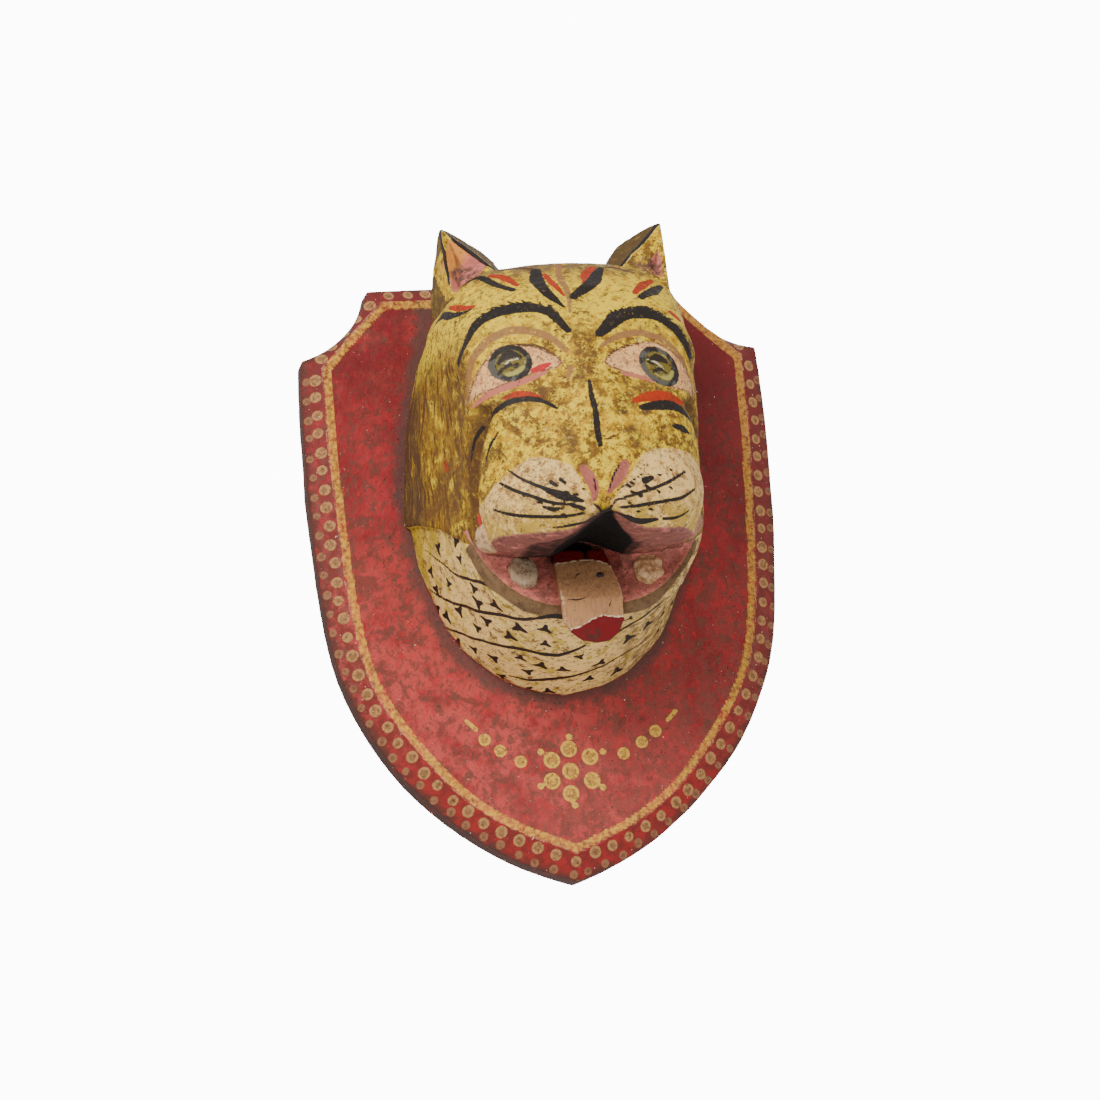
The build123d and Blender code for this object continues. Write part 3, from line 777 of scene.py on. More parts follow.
def paint_eyes_and_pads(obj, place, facing):
    """Whites, rims and irises of the eyes, and the pale whisker pads."""
    px, pw, pz = place.T
    front = np.where((pw > 118) & (facing[:, 1] < 0.4), 0, FAR)
    eyes = np.minimum(line_distance(px, pz, LEFT_EYE, True), line_distance(px, pz, RIGHT_EYE, True))
    pads = np.minimum(line_distance(px, pz, LEFT_PAD, True), line_distance(px, pz, RIGHT_PAD, True))
    left_iris = ellipse_distance(px, pz, (-50, 101), (13.2, 12.6), 0)
    right_iris = ellipse_distance(px, pz, (46, 95), (15.4, 12.0), -0.82)
    store(
        obj,
        eye_white=np.maximum(eyes, front - 5),
        eye_rim=np.abs(eyes + 0.4) - 0.9,
        pad=np.maximum(pads, 120 - pw),
        iris=np.maximum(np.minimum(left_iris, right_iris), front - 5),
    )


def paint_mouth(obj, place, facing):
    """The pink of the mouth's floor and roof, the painted shade of its throat and notch, and the painted
    shadow around them.
    """
    px, pw, pz = place.T
    inward = (pw > 58) & (pw < 109) & (pz < 6) & (facing[:, 1] < 0.3) & (mouth_side(px, pw) < 5)
    on_floor = np.where(np.abs(mouth_floor(px, pw, pz)) < 12, -2.0, 3.0)
    mouth = np.maximum(np.where(inward, on_floor, FAR), lip_height(px) - 1.0 - pz)
    off_arch = np.abs(pz - roof_height(px))
    roof = np.where((pw > 58) & (np.abs(px) < 66) & (pz < 9), 6 * facing[:, 2] + 3.6, FAR)
    roof = np.maximum(roof, np.where(pw > 108, off_arch - 2.0, -16 - pz))
    deep = np.maximum(pw - 90 + 0.35 * np.abs(px + 8), np.abs(pz + 3) - 12)
    throat = np.maximum(np.abs(px + 5) - 24, deep)
    overhead = np.where((pw > 96) & (pz < 10), 6 * facing[:, 2] + 1.2, FAR)
    overhead = np.maximum(overhead, np.where(pw > 108, off_arch - 3.0, -18 - pz))
    notch = np.maximum(np.abs(px - 0.5) - 4 - 20 * ease(180 - pw, 0, 46), overhead)
    # how far the painted shadow spreads sideways, wider further back
    shadow_spread = np.abs(px + 6) - 7 - 30 * ease(180 - pw, 0, 50)
    store(
        obj,
        pink=np.minimum(mouth, roof),
        roof=roof,
        gullet=np.minimum(notch, throat),
        smoke=np.maximum(shadow_spread, np.minimum(deep, overhead)),
    )


def paint_jaw(obj, place):
    """The neck, the painted shade in the cheek's crease, the lip's band and the filler at its corners."""
    px, pw, pz = place.T
    jaw_side = np.where(pw > 99, pz - lip_height(px) + 2, -FAR)
    groove = line_distance(pw, pz, CHEEK_GROOVE)
    edge = [(float(x), float(lip_height(x))) for x in np.linspace(-70, 70, 57)]
    band = line_distance(px, pz, edge) - 8.5 + 4.5 * ease(px, 36, 64)
    store(
        obj,
        neck=np.maximum(pz - np.interp(pw, *zip(*RUFF_EDGE)), np.maximum(jaw_side, pw - 112)),
        # where the cheek's crease is washed with painted shade
        cheek=np.maximum(groove - 9.5, np.maximum(50 - np.abs(px), -10 - pz)),
        lip_band=np.where((pw > 97) & (pz < 2) & (pw < 114), band, FAR),
        corner=np.minimum(*(ellipsoid(place.T, centre, (9.5, 11, 11)) for centre in LIP_CORNERS)),
    )


def paint_head(obj, place):
    """Every layer that the head's paint needs."""
    facing = normals_of(obj)
    paint_strokes(obj, place, nearest_on(obj))
    paint_eyes_and_pads(obj, place, facing)
    paint_mouth(obj, place, facing)
    paint_jaw(obj, place)
    store(obj, across=place[:, 0], depth=place[:, 1], height=place[:, 2])
    return obj


# ---- materials: coats of paint laid over one another ----
def srgb(red, green, blue):
    """A colour as it looks on a screen, 0 to 255 each, in linear light."""
    return tuple(((c / 255 + 0.055) / 1.055) ** 2.4 for c in (red, green, blue)) + (1.0,)


class Painter:
    """A material built up in coats; each mask is 0 to 1, and each colour a socket or 0 to 255 numbers."""

    def __init__(self, name, ground, rough, metal=0.0):
        self.material = bpy.data.materials.new(name)
        self.material.use_nodes = True
        self.tree = self.material.node_tree
        self.shader = self.tree.nodes["Principled BSDF"]
        self.fill(self.shader, {"Metallic": metal, "Specular IOR Level": 0.18})
        self.where = self.tree.nodes.new("ShaderNodeTexCoord").outputs["Object"]
        self.colour, self.rough, self.relief = ground, rough, None

    def fill(self, node, inputs):
        """Link each input of a node to a socket, or give it a value."""
        for key, value in inputs.items():
            if isinstance(value, bpy.types.NodeSocket):
                self.tree.links.new(value, node.inputs[key])
            else:
                node.inputs[key].default_value = value

    def node(self, kind, inputs, **settings):
        node = self.tree.nodes.new("ShaderNode" + kind)
        for name, setting in settings.items():
            setattr(node, name, setting)
        self.fill(node, inputs)
        return node

    def value(self, label):
        return self.node("Attribute", {}, attribute_name=label).outputs["Fac"]

    def math(self, operation, a, b=0.0, clamp=False):
        return self.node("Math", {0: a, 1: b}, operation=operation, use_clamp=clamp).outputs[0]

    def both(self, *masks):
        result = masks[0]
        for mask in masks[1:]:
            result = self.math("MULTIPLY", result, mask)
        return result

    def outside(self, mask):
        return self.math("SUBTRACT", 1.0, mask, True)

    def noise(self, size, detail=4, rough=0.6, shift=0.0, stretch=(1, 1, 1), warp=0.0):
        """Cloudy noise about 0.5, with features of that size in mm."""
        scale = [1 / s for s in stretch]
        location = (shift, shift * 0.7, -shift)
        moved = self.node("Mapping", {"Vector": self.where, "Scale": scale, "Location": location})
        inputs = {"Vector": moved.outputs[0], "Scale": 1 / (size * MM)}
        inputs |= {"Detail": detail, "Roughness": rough, "Distortion": warp}
        return self.node("TexNoise", inputs).outputs["Fac"]

    def band(self, value, low, high, top=1.0):
        """0 below low and top above high, smooth between; low may be the larger one."""
        ends = (0.0, top) if low < high else (top, 0.0)
        inputs = {"Value": value, "From Min": min(low, high), "From Max": max(low, high)}
        inputs |= {"To Min": ends[0], "To Max": ends[1]}
        return self.node("MapRange", inputs, interpolation_type="SMOOTHSTEP").outputs["Result"]

    def cloud(self, levels, *noise, **options):
        """Patches where noise rises through the levels (low, high and perhaps top)."""
        return self.band(self.noise(*noise, **options), *levels)

    def ragged(self, value, size, amount, shift=0.0):
        """value in mm, disturbed as a brush's edge is."""
        inputs = {0: self.noise(size, 3, 0.65, shift), 1: 2 * amount, 2: -amount}
        return self.math("ADD", value, self.node("Math", inputs, operation="MULTIPLY_ADD").outputs[0])

    def inside(self, label, size=2.0, amount=0.5, soft=0.25, shift=0.0):
        """The inside of a stored layer, with a brush's edge."""
        return self.band(self.ragged(self.value(label), size, amount, shift), soft, -soft)

    def mix(self, share, a, b):
        a, b = (srgb(*colour) if isinstance(colour, tuple) else colour for colour in (a, b))
        return self.node("Mix", {0: share, 6: a, 7: b}, data_type="RGBA").outputs[2]

    def coat(self, mask, colour, rough=None, lift=0.0):
        """Lay a coat over what is there; lift is its thickness in mm."""
        self.colour = self.mix(mask, self.colour, colour)
        if rough is not None:
            self.rough = self.node("Mix", {0: mask, 2: self.rough, 3: rough}).outputs[0]
        if lift:
            self.raise_by(mask, lift)

    def mottle(self, mask, colour, levels, *noise, **options):
        """A coat in cloudy patches within mask."""
        self.coat(self.both(mask, self.cloud(levels, *noise, **options)), colour)

    def raise_by(self, mask, lift):
        height = self.math("MULTIPLY", mask, lift)
        self.relief = height if self.relief is None else self.math("ADD", self.relief, height)

    def finish(self, *objects):
        bump = self.node("Bump", {"Distance": MM, "Strength": 0.8, "Height": self.relief}).outputs[0]
        self.fill(self.shader, {"Base Color": self.colour, "Roughness": self.rough, "Normal": bump})
        for obj in objects:
            obj.data.materials.clear()
            obj.data.materials.append(self.material)


YELLOW, YELLOW_BRIGHT, YELLOW_OLIVE = (208, 158, 26), (246, 208, 44), (128, 90, 32)
# The middle colour is the brown of dirt, also laid as painted shade in the ears' hollows.
OCHRE, GRIME_AND_SHADE, PIT = (118, 76, 32), (92, 66, 46), (50, 34, 24)
CREAM, CREAM_DIM = (250, 206, 126), (160, 106, 50)
BLACK, ORANGE, BROWN = (40, 33, 30), (182, 52, 16), (92, 62, 38)
MAUVE, PINK, PINK_DIM = (154, 106, 68), (222, 126, 114), (162, 98, 86)
RED = (146, 36, 38)
GOLD, GOLD_DIM = (242, 182, 62), (188, 126, 54)
WOOD, WOOD_PALE = (190, 138, 94), (212, 168, 118)


def aged_surface(paint, pit_depth=0.35):
    """The relief of brushed paint on carved wood: soft brush marks, pits and pinholes."""
    paint.raise_by(paint.noise(5, 5, 0.6), 0.9)
    pits = paint.cloud((0.36, 0.28), 1.6, 2, 0.5, 0.3)
    paint.raise_by(pits, -pit_depth)
    return pits


def yellow_coat(paint):
    """Yellow paint, brushed thin over brown, rubbed and dirty."""
    paint.colour = paint.mix(paint.cloud((0.42, 0.58), 12, 5, 0.65), YELLOW_OLIVE, YELLOW)
    paint.coat(paint.cloud((0.47, 0.55, 0.9), 5.5, 6, 0.75, 0.2), YELLOW_BRIGHT)
    paint.coat(paint.cloud((0.56, 0.63, 0.85), 7, 6, 0.8, 0.5, warp=0.5), OCHRE)
    paint.coat(paint.cloud((0.55, 0.65, 0.8), 16, 6, 0.8, 0.9, warp=0.6), GRIME_AND_SHADE)
    paint.mottle(paint.cloud((0.54, 0.62), 1.7, 4, 0.7, 0.1), PIT, (0.42, 0.58, 0.9), 14, 3)
    paint.coat(paint.cloud((0.64, 0.7, 0.6), 2.4, 4, 0.6, 0.7, stretch=(2.4, 1, 1)), (232, 214, 140))


def head_material(*objects):
    """Yellow all over, then the sides, neck, pads, mouth and eyes, the strokes, and last dirt with painted
    shade in the hollows.
    """
    paint = Painter("tiger_paint", YELLOW, 0.62)
    pits = aged_surface(paint)
    yellow_coat(paint)
    across, depth, height = map(paint.value, ("across", "depth", "height"))
    side = paint.both(paint.band(paint.math("ABSOLUTE", across), 62, 78), paint.band(depth, 150, 128))
    streak = paint.noise(4, 5, 0.7, 0.4, stretch=(1, 1, 5), warp=0.6)
    paint.mottle(side, (128, 86, 30), (0.34, 0.54, 0.8), 16, 4)
    paint.coat(paint.both(side, paint.band(streak, 0.5, 0.58, 0.85)), (74, 50, 32))
    paint.coat(paint.both(side, paint.band(streak, 0.4, 0.32, 0.85)), (200, 160, 40))
    near_board = paint.both(side, paint.band(paint.ragged(depth, 12, 14, 0.9), 62, 34))
    paint.coat(paint.both(near_board, paint.band(streak, 0.32, 0.44, 0.9)), (84, 62, 44))
    paint.mottle(near_board, (150, 116, 62), (0.56, 0.62, 0.7), 3, 5, 0.75, 1.8, stretch=(1, 1, 4))
    # Painted shade: a dark brown wash down the crease where the cheek meets the muzzle.
    paint.mottle(paint.inside("cheek", 9, 5, 4), (92, 60, 34), (0.33, 0.48, 0.92), 5, 6, 0.8, 1.5)
    paint.mottle(
        paint.band(height, 162, 180), (116, 92, 66), (0.36, 0.5, 0.85), 8, 5, 0.7, stretch=(1, 3, 1)
    )

    # Brown smears: grime, and painted shade about the brows, eyes, cheeks and ruff.
    smear = paint.band(paint.ragged(paint.value("smears"), 7, 4.5, 2.7), 3.5, -2.5)
    paint.mottle(smear, (104, 72, 40), (0.4, 0.52, 0.88), 4, 6, 0.8, 3.1)
    # Painted light, in patches: a brighter yellow across the forehead, as if lit from above.
    paint.mottle(
        paint.both(paint.band(height, 112, 138), paint.band(height, 172, 158)), YELLOW_BRIGHT,
        (0.44, 0.53, 0.88), 4, 6, 0.8, 3.4,
    )

    neck = paint.inside("neck", 5, 1.2, 0.5)
    paint.coat(neck, CREAM)
    paint.mottle(neck, (196, 168, 50), (0.52, 0.6, 0.8), 12, 5, 0.7, 1.3)
    paint.coat(paint.both(neck, paint.band(paint.ragged(across, 12, 16, 1.1), -80, -92)), (190, 160, 44))
    paint.mottle(neck, (118, 80, 44), (0.53, 0.61, 0.92), 9, 6, 0.8, 1.7, warp=0.4)
    shaded = paint.both(paint.band(across, 0, 50), paint.cloud((0.4, 0.56, 0.8), 7, 6, 0.8, 1.9))
    paint.coat(paint.both(neck, shaded), (112, 88, 60))

    pad = paint.inside("pad", 3, 1.2, 0.8)
    paint.coat(pad, CREAM, 0.6, 0.15)
    paint.mottle(pad, CREAM_DIM, (0.49, 0.6, 0.85), 6, 6, 0.75, 2.1, warp=0.4)
    paint.mottle(
        paint.both(pad, paint.band(across, -18, -44)), (128, 92, 54), (0.49, 0.58, 0.7), 5, 6, 0.8, 2.8
    )
    low_pad = paint.both(paint.band(height, 18, -6), paint.cloud((0.42, 0.54, 0.85), 9, 5, 0.7, 2.4))
    paint.coat(paint.both(pad, low_pad), (196, 158, 54))
    freckles = paint.cloud((0.53, 0.61, 0.85), 2.2, 5, 0.75, 0.6, stretch=(1.5, 1, 1))
    patches = paint.cloud((0.38, 0.56), 11, 4, shift=0.4)
    paint.coat(paint.both(paint.math("MAXIMUM", pad, neck), freckles, patches), (92, 66, 44))

    pink = paint.inside("pink", 3, 0.6, 0.4)
    paint.coat(pink, PINK, 0.5)
    paint.mottle(pink, PINK_DIM, (0.4, 0.56, 0.9), 9, 6, 0.75, 3, warp=0.4)
    paint.mottle(pink, (120, 78, 66), (0.54, 0.64, 0.6), 4, 5, 0.7, 3.2)
    paint.mottle(pink, (230, 164, 150), (0.64, 0.7, 0.7), 3, 4, 0.6, 3.3)
    # Painted shade: the down-facing roof of the mouth laid in a duller, darker pink.
    paint.mottle(paint.inside("roof", 4, 1, 1), (140, 84, 76), (0.34, 0.5), 8, 5, 0.7, 3.6)
    paint.mottle(paint.inside("roof", 4, 1, 1), (96, 62, 52), (0.5, 0.62, 0.7), 5, 5, 0.7, 3.8)
    # The lip's band: brown paint, partly painted shade on this underside edge.
    band = paint.both(paint.inside("lip_band", 3, 0.5, 0.4), paint.outside(pink))
    paint.coat(band, (120, 92, 62))
    paint.mottle(band, (96, 70, 48), (0.48, 0.6, 0.7), 6, 4)
    # Painted shadow: a smoky dark brown spreading from the throat and notch over roof and floor.
    paint.coat(
        paint.both(paint.inside("smoke", 7, 4, 4.5), paint.cloud((0.26, 0.42), 6, 5, 0.7, 3.9)),
        (42, 27, 25), 0.8,
    )
    # Painted shade: near black in the throat and in the notch under the nose.
    paint.coat(paint.inside("gullet", 4, 1.2, 1.4), (14, 9, 9), 0.9)
    corner = paint.inside("corner", 3, 0.8, 0.5)
    paint.coat(corner, paint.mix(paint.band(across, -20, 20), (206, 168, 124), (188, 132, 108)))
    paint.mottle(corner, (150, 104, 74), (0.48, 0.58, 0.8), 4, 5, 0.7)

    paint.mottle(paint.inside("mauve", 3, 0.9, 0.5), MAUVE, (0.32, 0.42, 0.92), 3, 4, 0.6)
    white = paint.inside("eye_white", 2, 0.4)
    paint.coat(white, (250, 190, 122), 0.55, 0.15)
    paint.mottle(white, (216, 146, 98), (0.46, 0.6, 0.85), 5, 5, 0.7, 4)
    paint.mottle(white, (118, 84, 60), (0.53, 0.61, 0.85), 1.9, 4, 0.7, 4.4)
    paint.mottle(
        paint.both(white, paint.inside("eye_rim", 2, 0.7, 0.4)), (118, 78, 60), (0.4, 0.5), 2.2, 4, 0.7,
        4.7,
    )
    worn = paint.cloud((0.3, 0.36), 1.6, 3, 0.6, 5)
    paint.coat(paint.both(paint.inside("lid", 2, 0.5), worn), (198, 112, 92))
    paint.coat(paint.both(paint.inside("red", 2, 0.6), worn), (198, 44, 48))
    iris = paint.value("iris")
    ring = paint.mix(paint.cloud((0.46, 0.56), 9, 3, shift=5.1), (46, 40, 36), (92, 88, 80))
    paint.coat(paint.inside("iris", 3, 0.9, 0.4), ring, 0.5, 0.15)
    core = paint.band(paint.ragged(iris, 5, 1.8, 0.8), -3.4, -4.4)
    paint.coat(core, (120, 102, 38))
    paint.mottle(core, (52, 44, 36), (0.5, 0.56), 3.5, 4, 0.7, 5.3, stretch=(2, 1, 1))
    paint.mottle(core, (158, 150, 84), (0.56, 0.62), 3, 4, 0.7, 5.7, stretch=(2, 1, 1))
    paint.coat(paint.both(core, paint.inside("iris_pale", 2, 0.8, 0.6)), (172, 160, 80))
    paint.coat(paint.inside("pupil", 2.2, 1.2, 0.5), (48, 40, 32))
    paint.coat(paint.inside("glint", 1.2, 0.7), (210, 196, 160))

    for label, colour in (("nostril", (176, 100, 86)), ("orange", ORANGE), ("brown", BROWN)):
        paint.coat(paint.both(paint.inside(label, 2, 0.9), worn), colour, 0.55)
    paint.mottle(paint.inside("orange", 2, 0.9), (118, 58, 30), (0.5, 0.6, 0.8), 3.5, 5, 0.75, 5.9)
    skips = paint.cloud((0.25, 0.31), 1.5, 3, 0.6, 6)
    ink = paint.math(
        "MAXIMUM", paint.both(paint.inside("black", 2.4, 1.1, 0.3), skips),
        paint.inside("line", 1.4, 0.3, 0.3),
    )
    paint.coat(ink, BLACK, 0.5, 0.15)
    paint.mottle(ink, (112, 88, 62), (0.58, 0.66, 0.7), 3, 5, 0.75, 6.3)
    paint.coat(paint.both(paint.inside("paws", 1.2, 0.35, 0.2), skips), BLACK, 0.5)

    contact = paint.band(paint.ragged(depth, 6, 1.5, 6.6), 4, 1)
    paint.coat(paint.both(contact, paint.band(height, 10, -10)), (168, 44, 36))
    # Painted shade with grime: the hollows darkened brown, more where they lie deeper.
    hollow = paint.ragged(paint.value("hollow_fine"), 3, 0.02)
    dry = paint.outside(pink)
    paint.coat(paint.both(dry, paint.band(hollow, 0.035, 0.16, 0.85)), (56, 40, 30), 0.75)
    paint.coat(paint.both(dry, paint.band(paint.value("hollow_wide"), 0.08, 0.3, 0.6)), (58, 40, 30))
    paint.mottle(
        paint.band(paint.value("hollow_fine"), -0.09, -0.16), (214, 186, 138), (0.5, 0.58), 2.5, 4, 0.65
    )
    paint.mottle(pits, PIT, (0.4, 0.6, 0.8), 12, 3)
    paint.finish(*objects)


def plaque_material(*objects):
    """Mottled red, a dotted border within a gold line, a flower of dabs, and bare wood behind."""
    paint = Painter("red_paint", RED, 0.5)
    pits = aged_surface(paint, 0.25)
    across, depth, height, inset = map(paint.value, ("across", "depth", "height", "inset"))
    mottle = paint.noise(11, 6, 0.68, warp=0.4)
    paint.colour = paint.mix(paint.cloud((0.36, 0.64), 26, 4), (142, 38, 42), (172, 52, 54))
    # Painted light: a paler pink sheen towards the board's lower left.
    sheen_low_left = paint.band(paint.math("ADD", paint.math("MULTIPLY", across, 0.6), height), 10, -150)
    paint.mottle(sheen_low_left, (196, 76, 72), (0.3, 0.6), 16, 5, 0.65, 0.3)
    paint.coat(paint.band(mottle, 0.5, 0.6, 0.7), (104, 62, 52))
    paint.coat(
        paint.cloud((0.5, 0.58, 0.75), 5, 6, 0.75, 0.8, stretch=(1, 1, 1.4), warp=0.4), (108, 70, 58)
    )
    paint.coat(paint.cloud((0.58, 0.65, 0.8), 3.4, 4, 0.7, 1.1, stretch=(1, 1, 2.2)), (200, 44, 50))
    # Painted shade: the red darker towards the board's upper right.
    shade_high_right = paint.band(paint.math("ADD", across, height), 60, 260, 0.6)
    paint.coat(shade_high_right, (108, 46, 42))
    paint.mottle(paint.band(height, 60, 170, 0.75), (112, 32, 36), (0.3, 0.6), 18, 5, 0.65, 1.4)
    low_right = paint.band(
        paint.math("SUBTRACT", paint.math("MULTIPLY", across, 0.8), height), 60, 190, 0.7
    )
    paint.mottle(low_right, (138, 70, 62), (0.4, 0.56), 9, 5, 0.7, 1.6)
    # Painted shadow of the head: a grey-brown band on the board along where the head meets it.
    soot = paint.both(
        paint.band(paint.ragged(paint.value("soot"), 9, 6), 11, 2, 0.8), paint.band(depth, -3, -1)
    )
    paint.coat(soot, (88, 66, 60), 0.65)

    bevel = paint.band(paint.value("bevel"), -0.2, 0.4)
    paint.coat(paint.both(bevel, paint.band(height, -60, -150)), (158, 42, 40))
    paint.mottle(bevel, (118, 44, 38), (0.38, 0.6, 0.85), 7, 5, 0.65, 2)
    # Painted shade: darker along the bevel's outer edge.
    paint.mottle(
        paint.both(bevel, paint.band(paint.ragged(inset, 6, 2, 2.3), -6, -2)), (88, 52, 44),
        (0.4, 0.55, 0.8), 12, 4, shift=2.2,
    )
    dabs = {  # colours of each dab's edge and its rubbed middle
        "dots": ((186, 134, 82), (128, 88, 56)),
        "outer_dots": ((152, 102, 70), (112, 72, 52)),
        "flower": ((228, 176, 72), (168, 118, 60)),
    }
    for label, (edge_colour, middle_colour) in dabs.items():
        dab = paint.inside(label, 2, 0.45, 0.3)
        value = paint.ragged(paint.value(label), 2, 0.5, 0.5)
        paint.coat(dab, edge_colour, 0.45, 0.3)
        centre = paint.both(paint.band(value, -1.2, -2.0, 0.75), paint.cloud((0.4, 0.5), 3, 4, 0.7, 2.5))
        paint.coat(centre, middle_colour)
        paint.mottle(dab, (108, 66, 46), (0.52, 0.6, 0.7), 2.4, 4, 0.65, 2.6)
    line = paint.inside("gold", 3, 0.6, 0.3)
    paint.coat(paint.both(line, paint.cloud((0.26, 0.34), 2.2, 4, 0.7, 2.9)), GOLD, 0.45, 0.25)
    paint.mottle(line, GOLD_DIM, (0.55, 0.66, 0.7), 5, 6, 0.75, 3.2)
    # Painted shade on the gold line towards the upper right.
    paint.coat(paint.both(line, shade_high_right), (184, 118, 70))
    # A pale line along the arris: worn paint and a painted highlight on the edge.
    arris = paint.inside("arris", 2.5, 0.5, 0.35)
    paint.mottle(arris, (226, 160, 128), (0.46, 0.54, 0.9), 9, 5, 0.7, 3.5)
    # The board's side faces: dark brown paint, partly painted shade.
    flank = paint.both(paint.band(inset, -3.5, -1.5), paint.band(depth, -8.5, -10.5))
    paint.coat(flank, (78, 46, 38), 0.65)
    paint.mottle(flank, (112, 44, 38), (0.52, 0.62, 0.8), 9, 5, 0.7, 3.9)
    rear = paint.band(paint.value("bare"), 0.4, -0.4)
    grain = paint.noise(3, 6, 0.7, stretch=(1, 1, 14), warp=0.3)
    paint.coat(rear, (134, 98, 66), 0.8)
    paint.coat(paint.both(rear, paint.band(grain, 0.46, 0.6)), (92, 64, 42))
    paint.mottle(rear, (70, 52, 40), (0.5, 0.66, 0.7), 30, 5, 0.7, 4.2)
    paint.raise_by(paint.both(rear, grain), 0.8)
    # Painted shade with grime in the board's hollows.
    paint.coat(paint.band(paint.value("hollow_fine"), 0.03, 0.14, 0.7), (58, 34, 30))
    paint.mottle(
        paint.band(paint.value("hollow_fine"), -0.1, -0.17), (196, 150, 104), (0.5, 0.58), 3.4, 4, 0.7,
        4.6,
    )
    paint.mottle(pits, (70, 36, 32), (0.44, 0.6, 0.7), 20, 3, shift=5)
    paint.coat(paint.cloud((0.735, 0.755, 0.9), 2, 2, 0.5, 5.4), (222, 200, 186), 0.7, 0.2)
    paint.finish(*objects)


def ear_material(*objects):
    """The head's yellow in front, brown behind, and a pink dish with an orange tip."""
    paint = Painter("ear_paint", YELLOW, 0.62)
    pits = aged_surface(paint)
    yellow_coat(paint)
    front = paint.inside("front", 3, 0.5, 0.4)
    paint.coat(paint.outside(front), (98, 74, 38))
    paint.mottle(paint.outside(front), (140, 110, 44), (0.48, 0.6), 5, 5, 0.7, 1)
    paint.mottle(paint.inside("facet", 3, 0.8, 0.5), (88, 66, 36), (0.36, 0.5, 0.9), 6, 6, 0.75, 0.7)
    dish = paint.inside("dish", 3, 0.7, 0.5)
    paint.coat(dish, PINK)
    paint.mottle(dish, (176, 104, 92), (0.46, 0.58, 0.7), 7, 5, 0.7, 1.4)
    paint.coat(paint.both(dish, paint.band(paint.value("tip"), -4, 5)), (232, 156, 72))
    paint.mottle(paint.inside("shade", 4, 2, 2), (112, 80, 72), (0.4, 0.55), 4, 5, 0.7)
    paint.mottle(paint.inside("pale", 1.4, 0.5), (232, 204, 110), (0.42, 0.5), 2, 4)
    paint.coat(paint.inside("black", 1.6, 0.5), BLACK, 0.5, 0.15)
    # Painted shade with grime in the ear's hollows.
    paint.coat(paint.band(paint.value("hollow_fine"), 0.05, 0.16, 0.7), GRIME_AND_SHADE)
    paint.mottle(pits, PIT, (0.4, 0.6, 0.8), 9, 3)
    paint.finish(*objects)


def tongue_material(*objects):
    """Red paint, gone from the middle down to the wood, with pale chips along its edge."""
    paint = Painter("tongue_wood", (116, 20, 24), 0.4)
    paint.raise_by(paint.noise(3, 5, 0.6), 0.5)
    paint.coat(paint.cloud((0.5, 0.64, 0.8), 7, 5, 0.65), (96, 34, 32))
    wood = paint.band(paint.ragged(paint.value("wood"), 2, 0.9), 0.2, -0.2)
    grain = paint.noise(1.6, 5, 0.65, stretch=(1, 1, 9), warp=0.4)
    paint.mottle(paint.band(paint.value("middle"), 6, 2), (74, 38, 32), (0.4, 0.5, 0.85), 5, 4, shift=0.3)
    paint.coat(wood, WOOD, 0.75)
    paint.coat(paint.both(wood, paint.band(grain, 0.48, 0.62, 0.6)), (142, 106, 78))
    paint.mottle(wood, (184, 136, 98), (0.5, 0.64, 0.6), 6, 5, 0.65, 0.7)
    paint.mottle(wood, (116, 82, 60), (0.6, 0.66, 0.65), 1.4, 4, 0.7, 1.2)
    paint.mottle(
        paint.both(wood, paint.band(paint.value("hollow_fine"), -0.13, -0.19)), (226, 196, 156),
        (0.46, 0.54, 0.85), 4, 5, 0.7, 1.9,
    )
    chip = paint.math("ABSOLUTE", paint.ragged(paint.value("wood"), 2, 0.9))
    paint.coat(
        paint.both(paint.band(chip, 0.7, 0.3), paint.cloud((0.4, 0.5), 3, 4, shift=1.6)), (230, 204, 164),
        None, 0.3,
    )
    paint.coat(paint.inside("crack", 1.2, 0.25, 0.15), (58, 36, 28), 0.8, -0.5)
    paint.coat(paint.inside("groove", 1.6, 0.5, 0.5), (44, 24, 20))
    # Painted shade with grime in the tongue's hollows.
    paint.coat(paint.band(paint.value("hollow_fine"), 0.04, 0.14, 0.7), (84, 50, 38))
    paint.finish(*objects)


def peg_material(*objects):
    """Bare pale wood, greyer on the viewer's left, stained red where it leaves the jaw."""
    paint = Painter("peg_wood", WOOD_PALE, 0.75)
    paint.raise_by(paint.noise(2.4, 5, 0.65), 0.9)
    paint.colour = paint.mix(paint.cloud((0.4, 0.6), 4, 5, 0.65), (176, 130, 88), (222, 182, 136))
    grey = paint.band(paint.value("across"), 0, -10, 0.75)
    paint.coat(grey, (172, 154, 128))
    paint.mottle(grey, (126, 104, 82), (0.5, 0.6), 3, 5, 0.7, 0.6, stretch=(1, 1, 2))
    paint.coat(paint.cloud((0.58, 0.66, 0.7), 1.6, 4, 0.7, 0.9), (128, 92, 62))
    paint.coat(paint.band(paint.ragged(paint.value("proud"), 3, 0.8), 1.8, 0.2, 0.85), (120, 72, 60))
    # Painted shade with grime in the pegs' hollows.
    paint.coat(paint.band(paint.value("hollow_fine"), 0.03, 0.12, 0.8), (92, 62, 46))
    paint.finish(*objects)


def steel_material(name, objects, rust):
    """Grey steel with stains and more or less rust."""
    paint = Painter(name, (126, 122, 116), 0.42, 0.85 - rust)
    paint.raise_by(paint.noise(0.8), 0.12)
    paint.coat(paint.cloud((0.42, 0.62), 2.5, 5, 0.65), (84, 78, 72), 0.55)
    paint.coat(paint.cloud((0.62 - rust, 0.72 - rust), 2, 5, 0.7, 0.6), (92, 54, 34), 0.85)
    paint.finish(*objects)


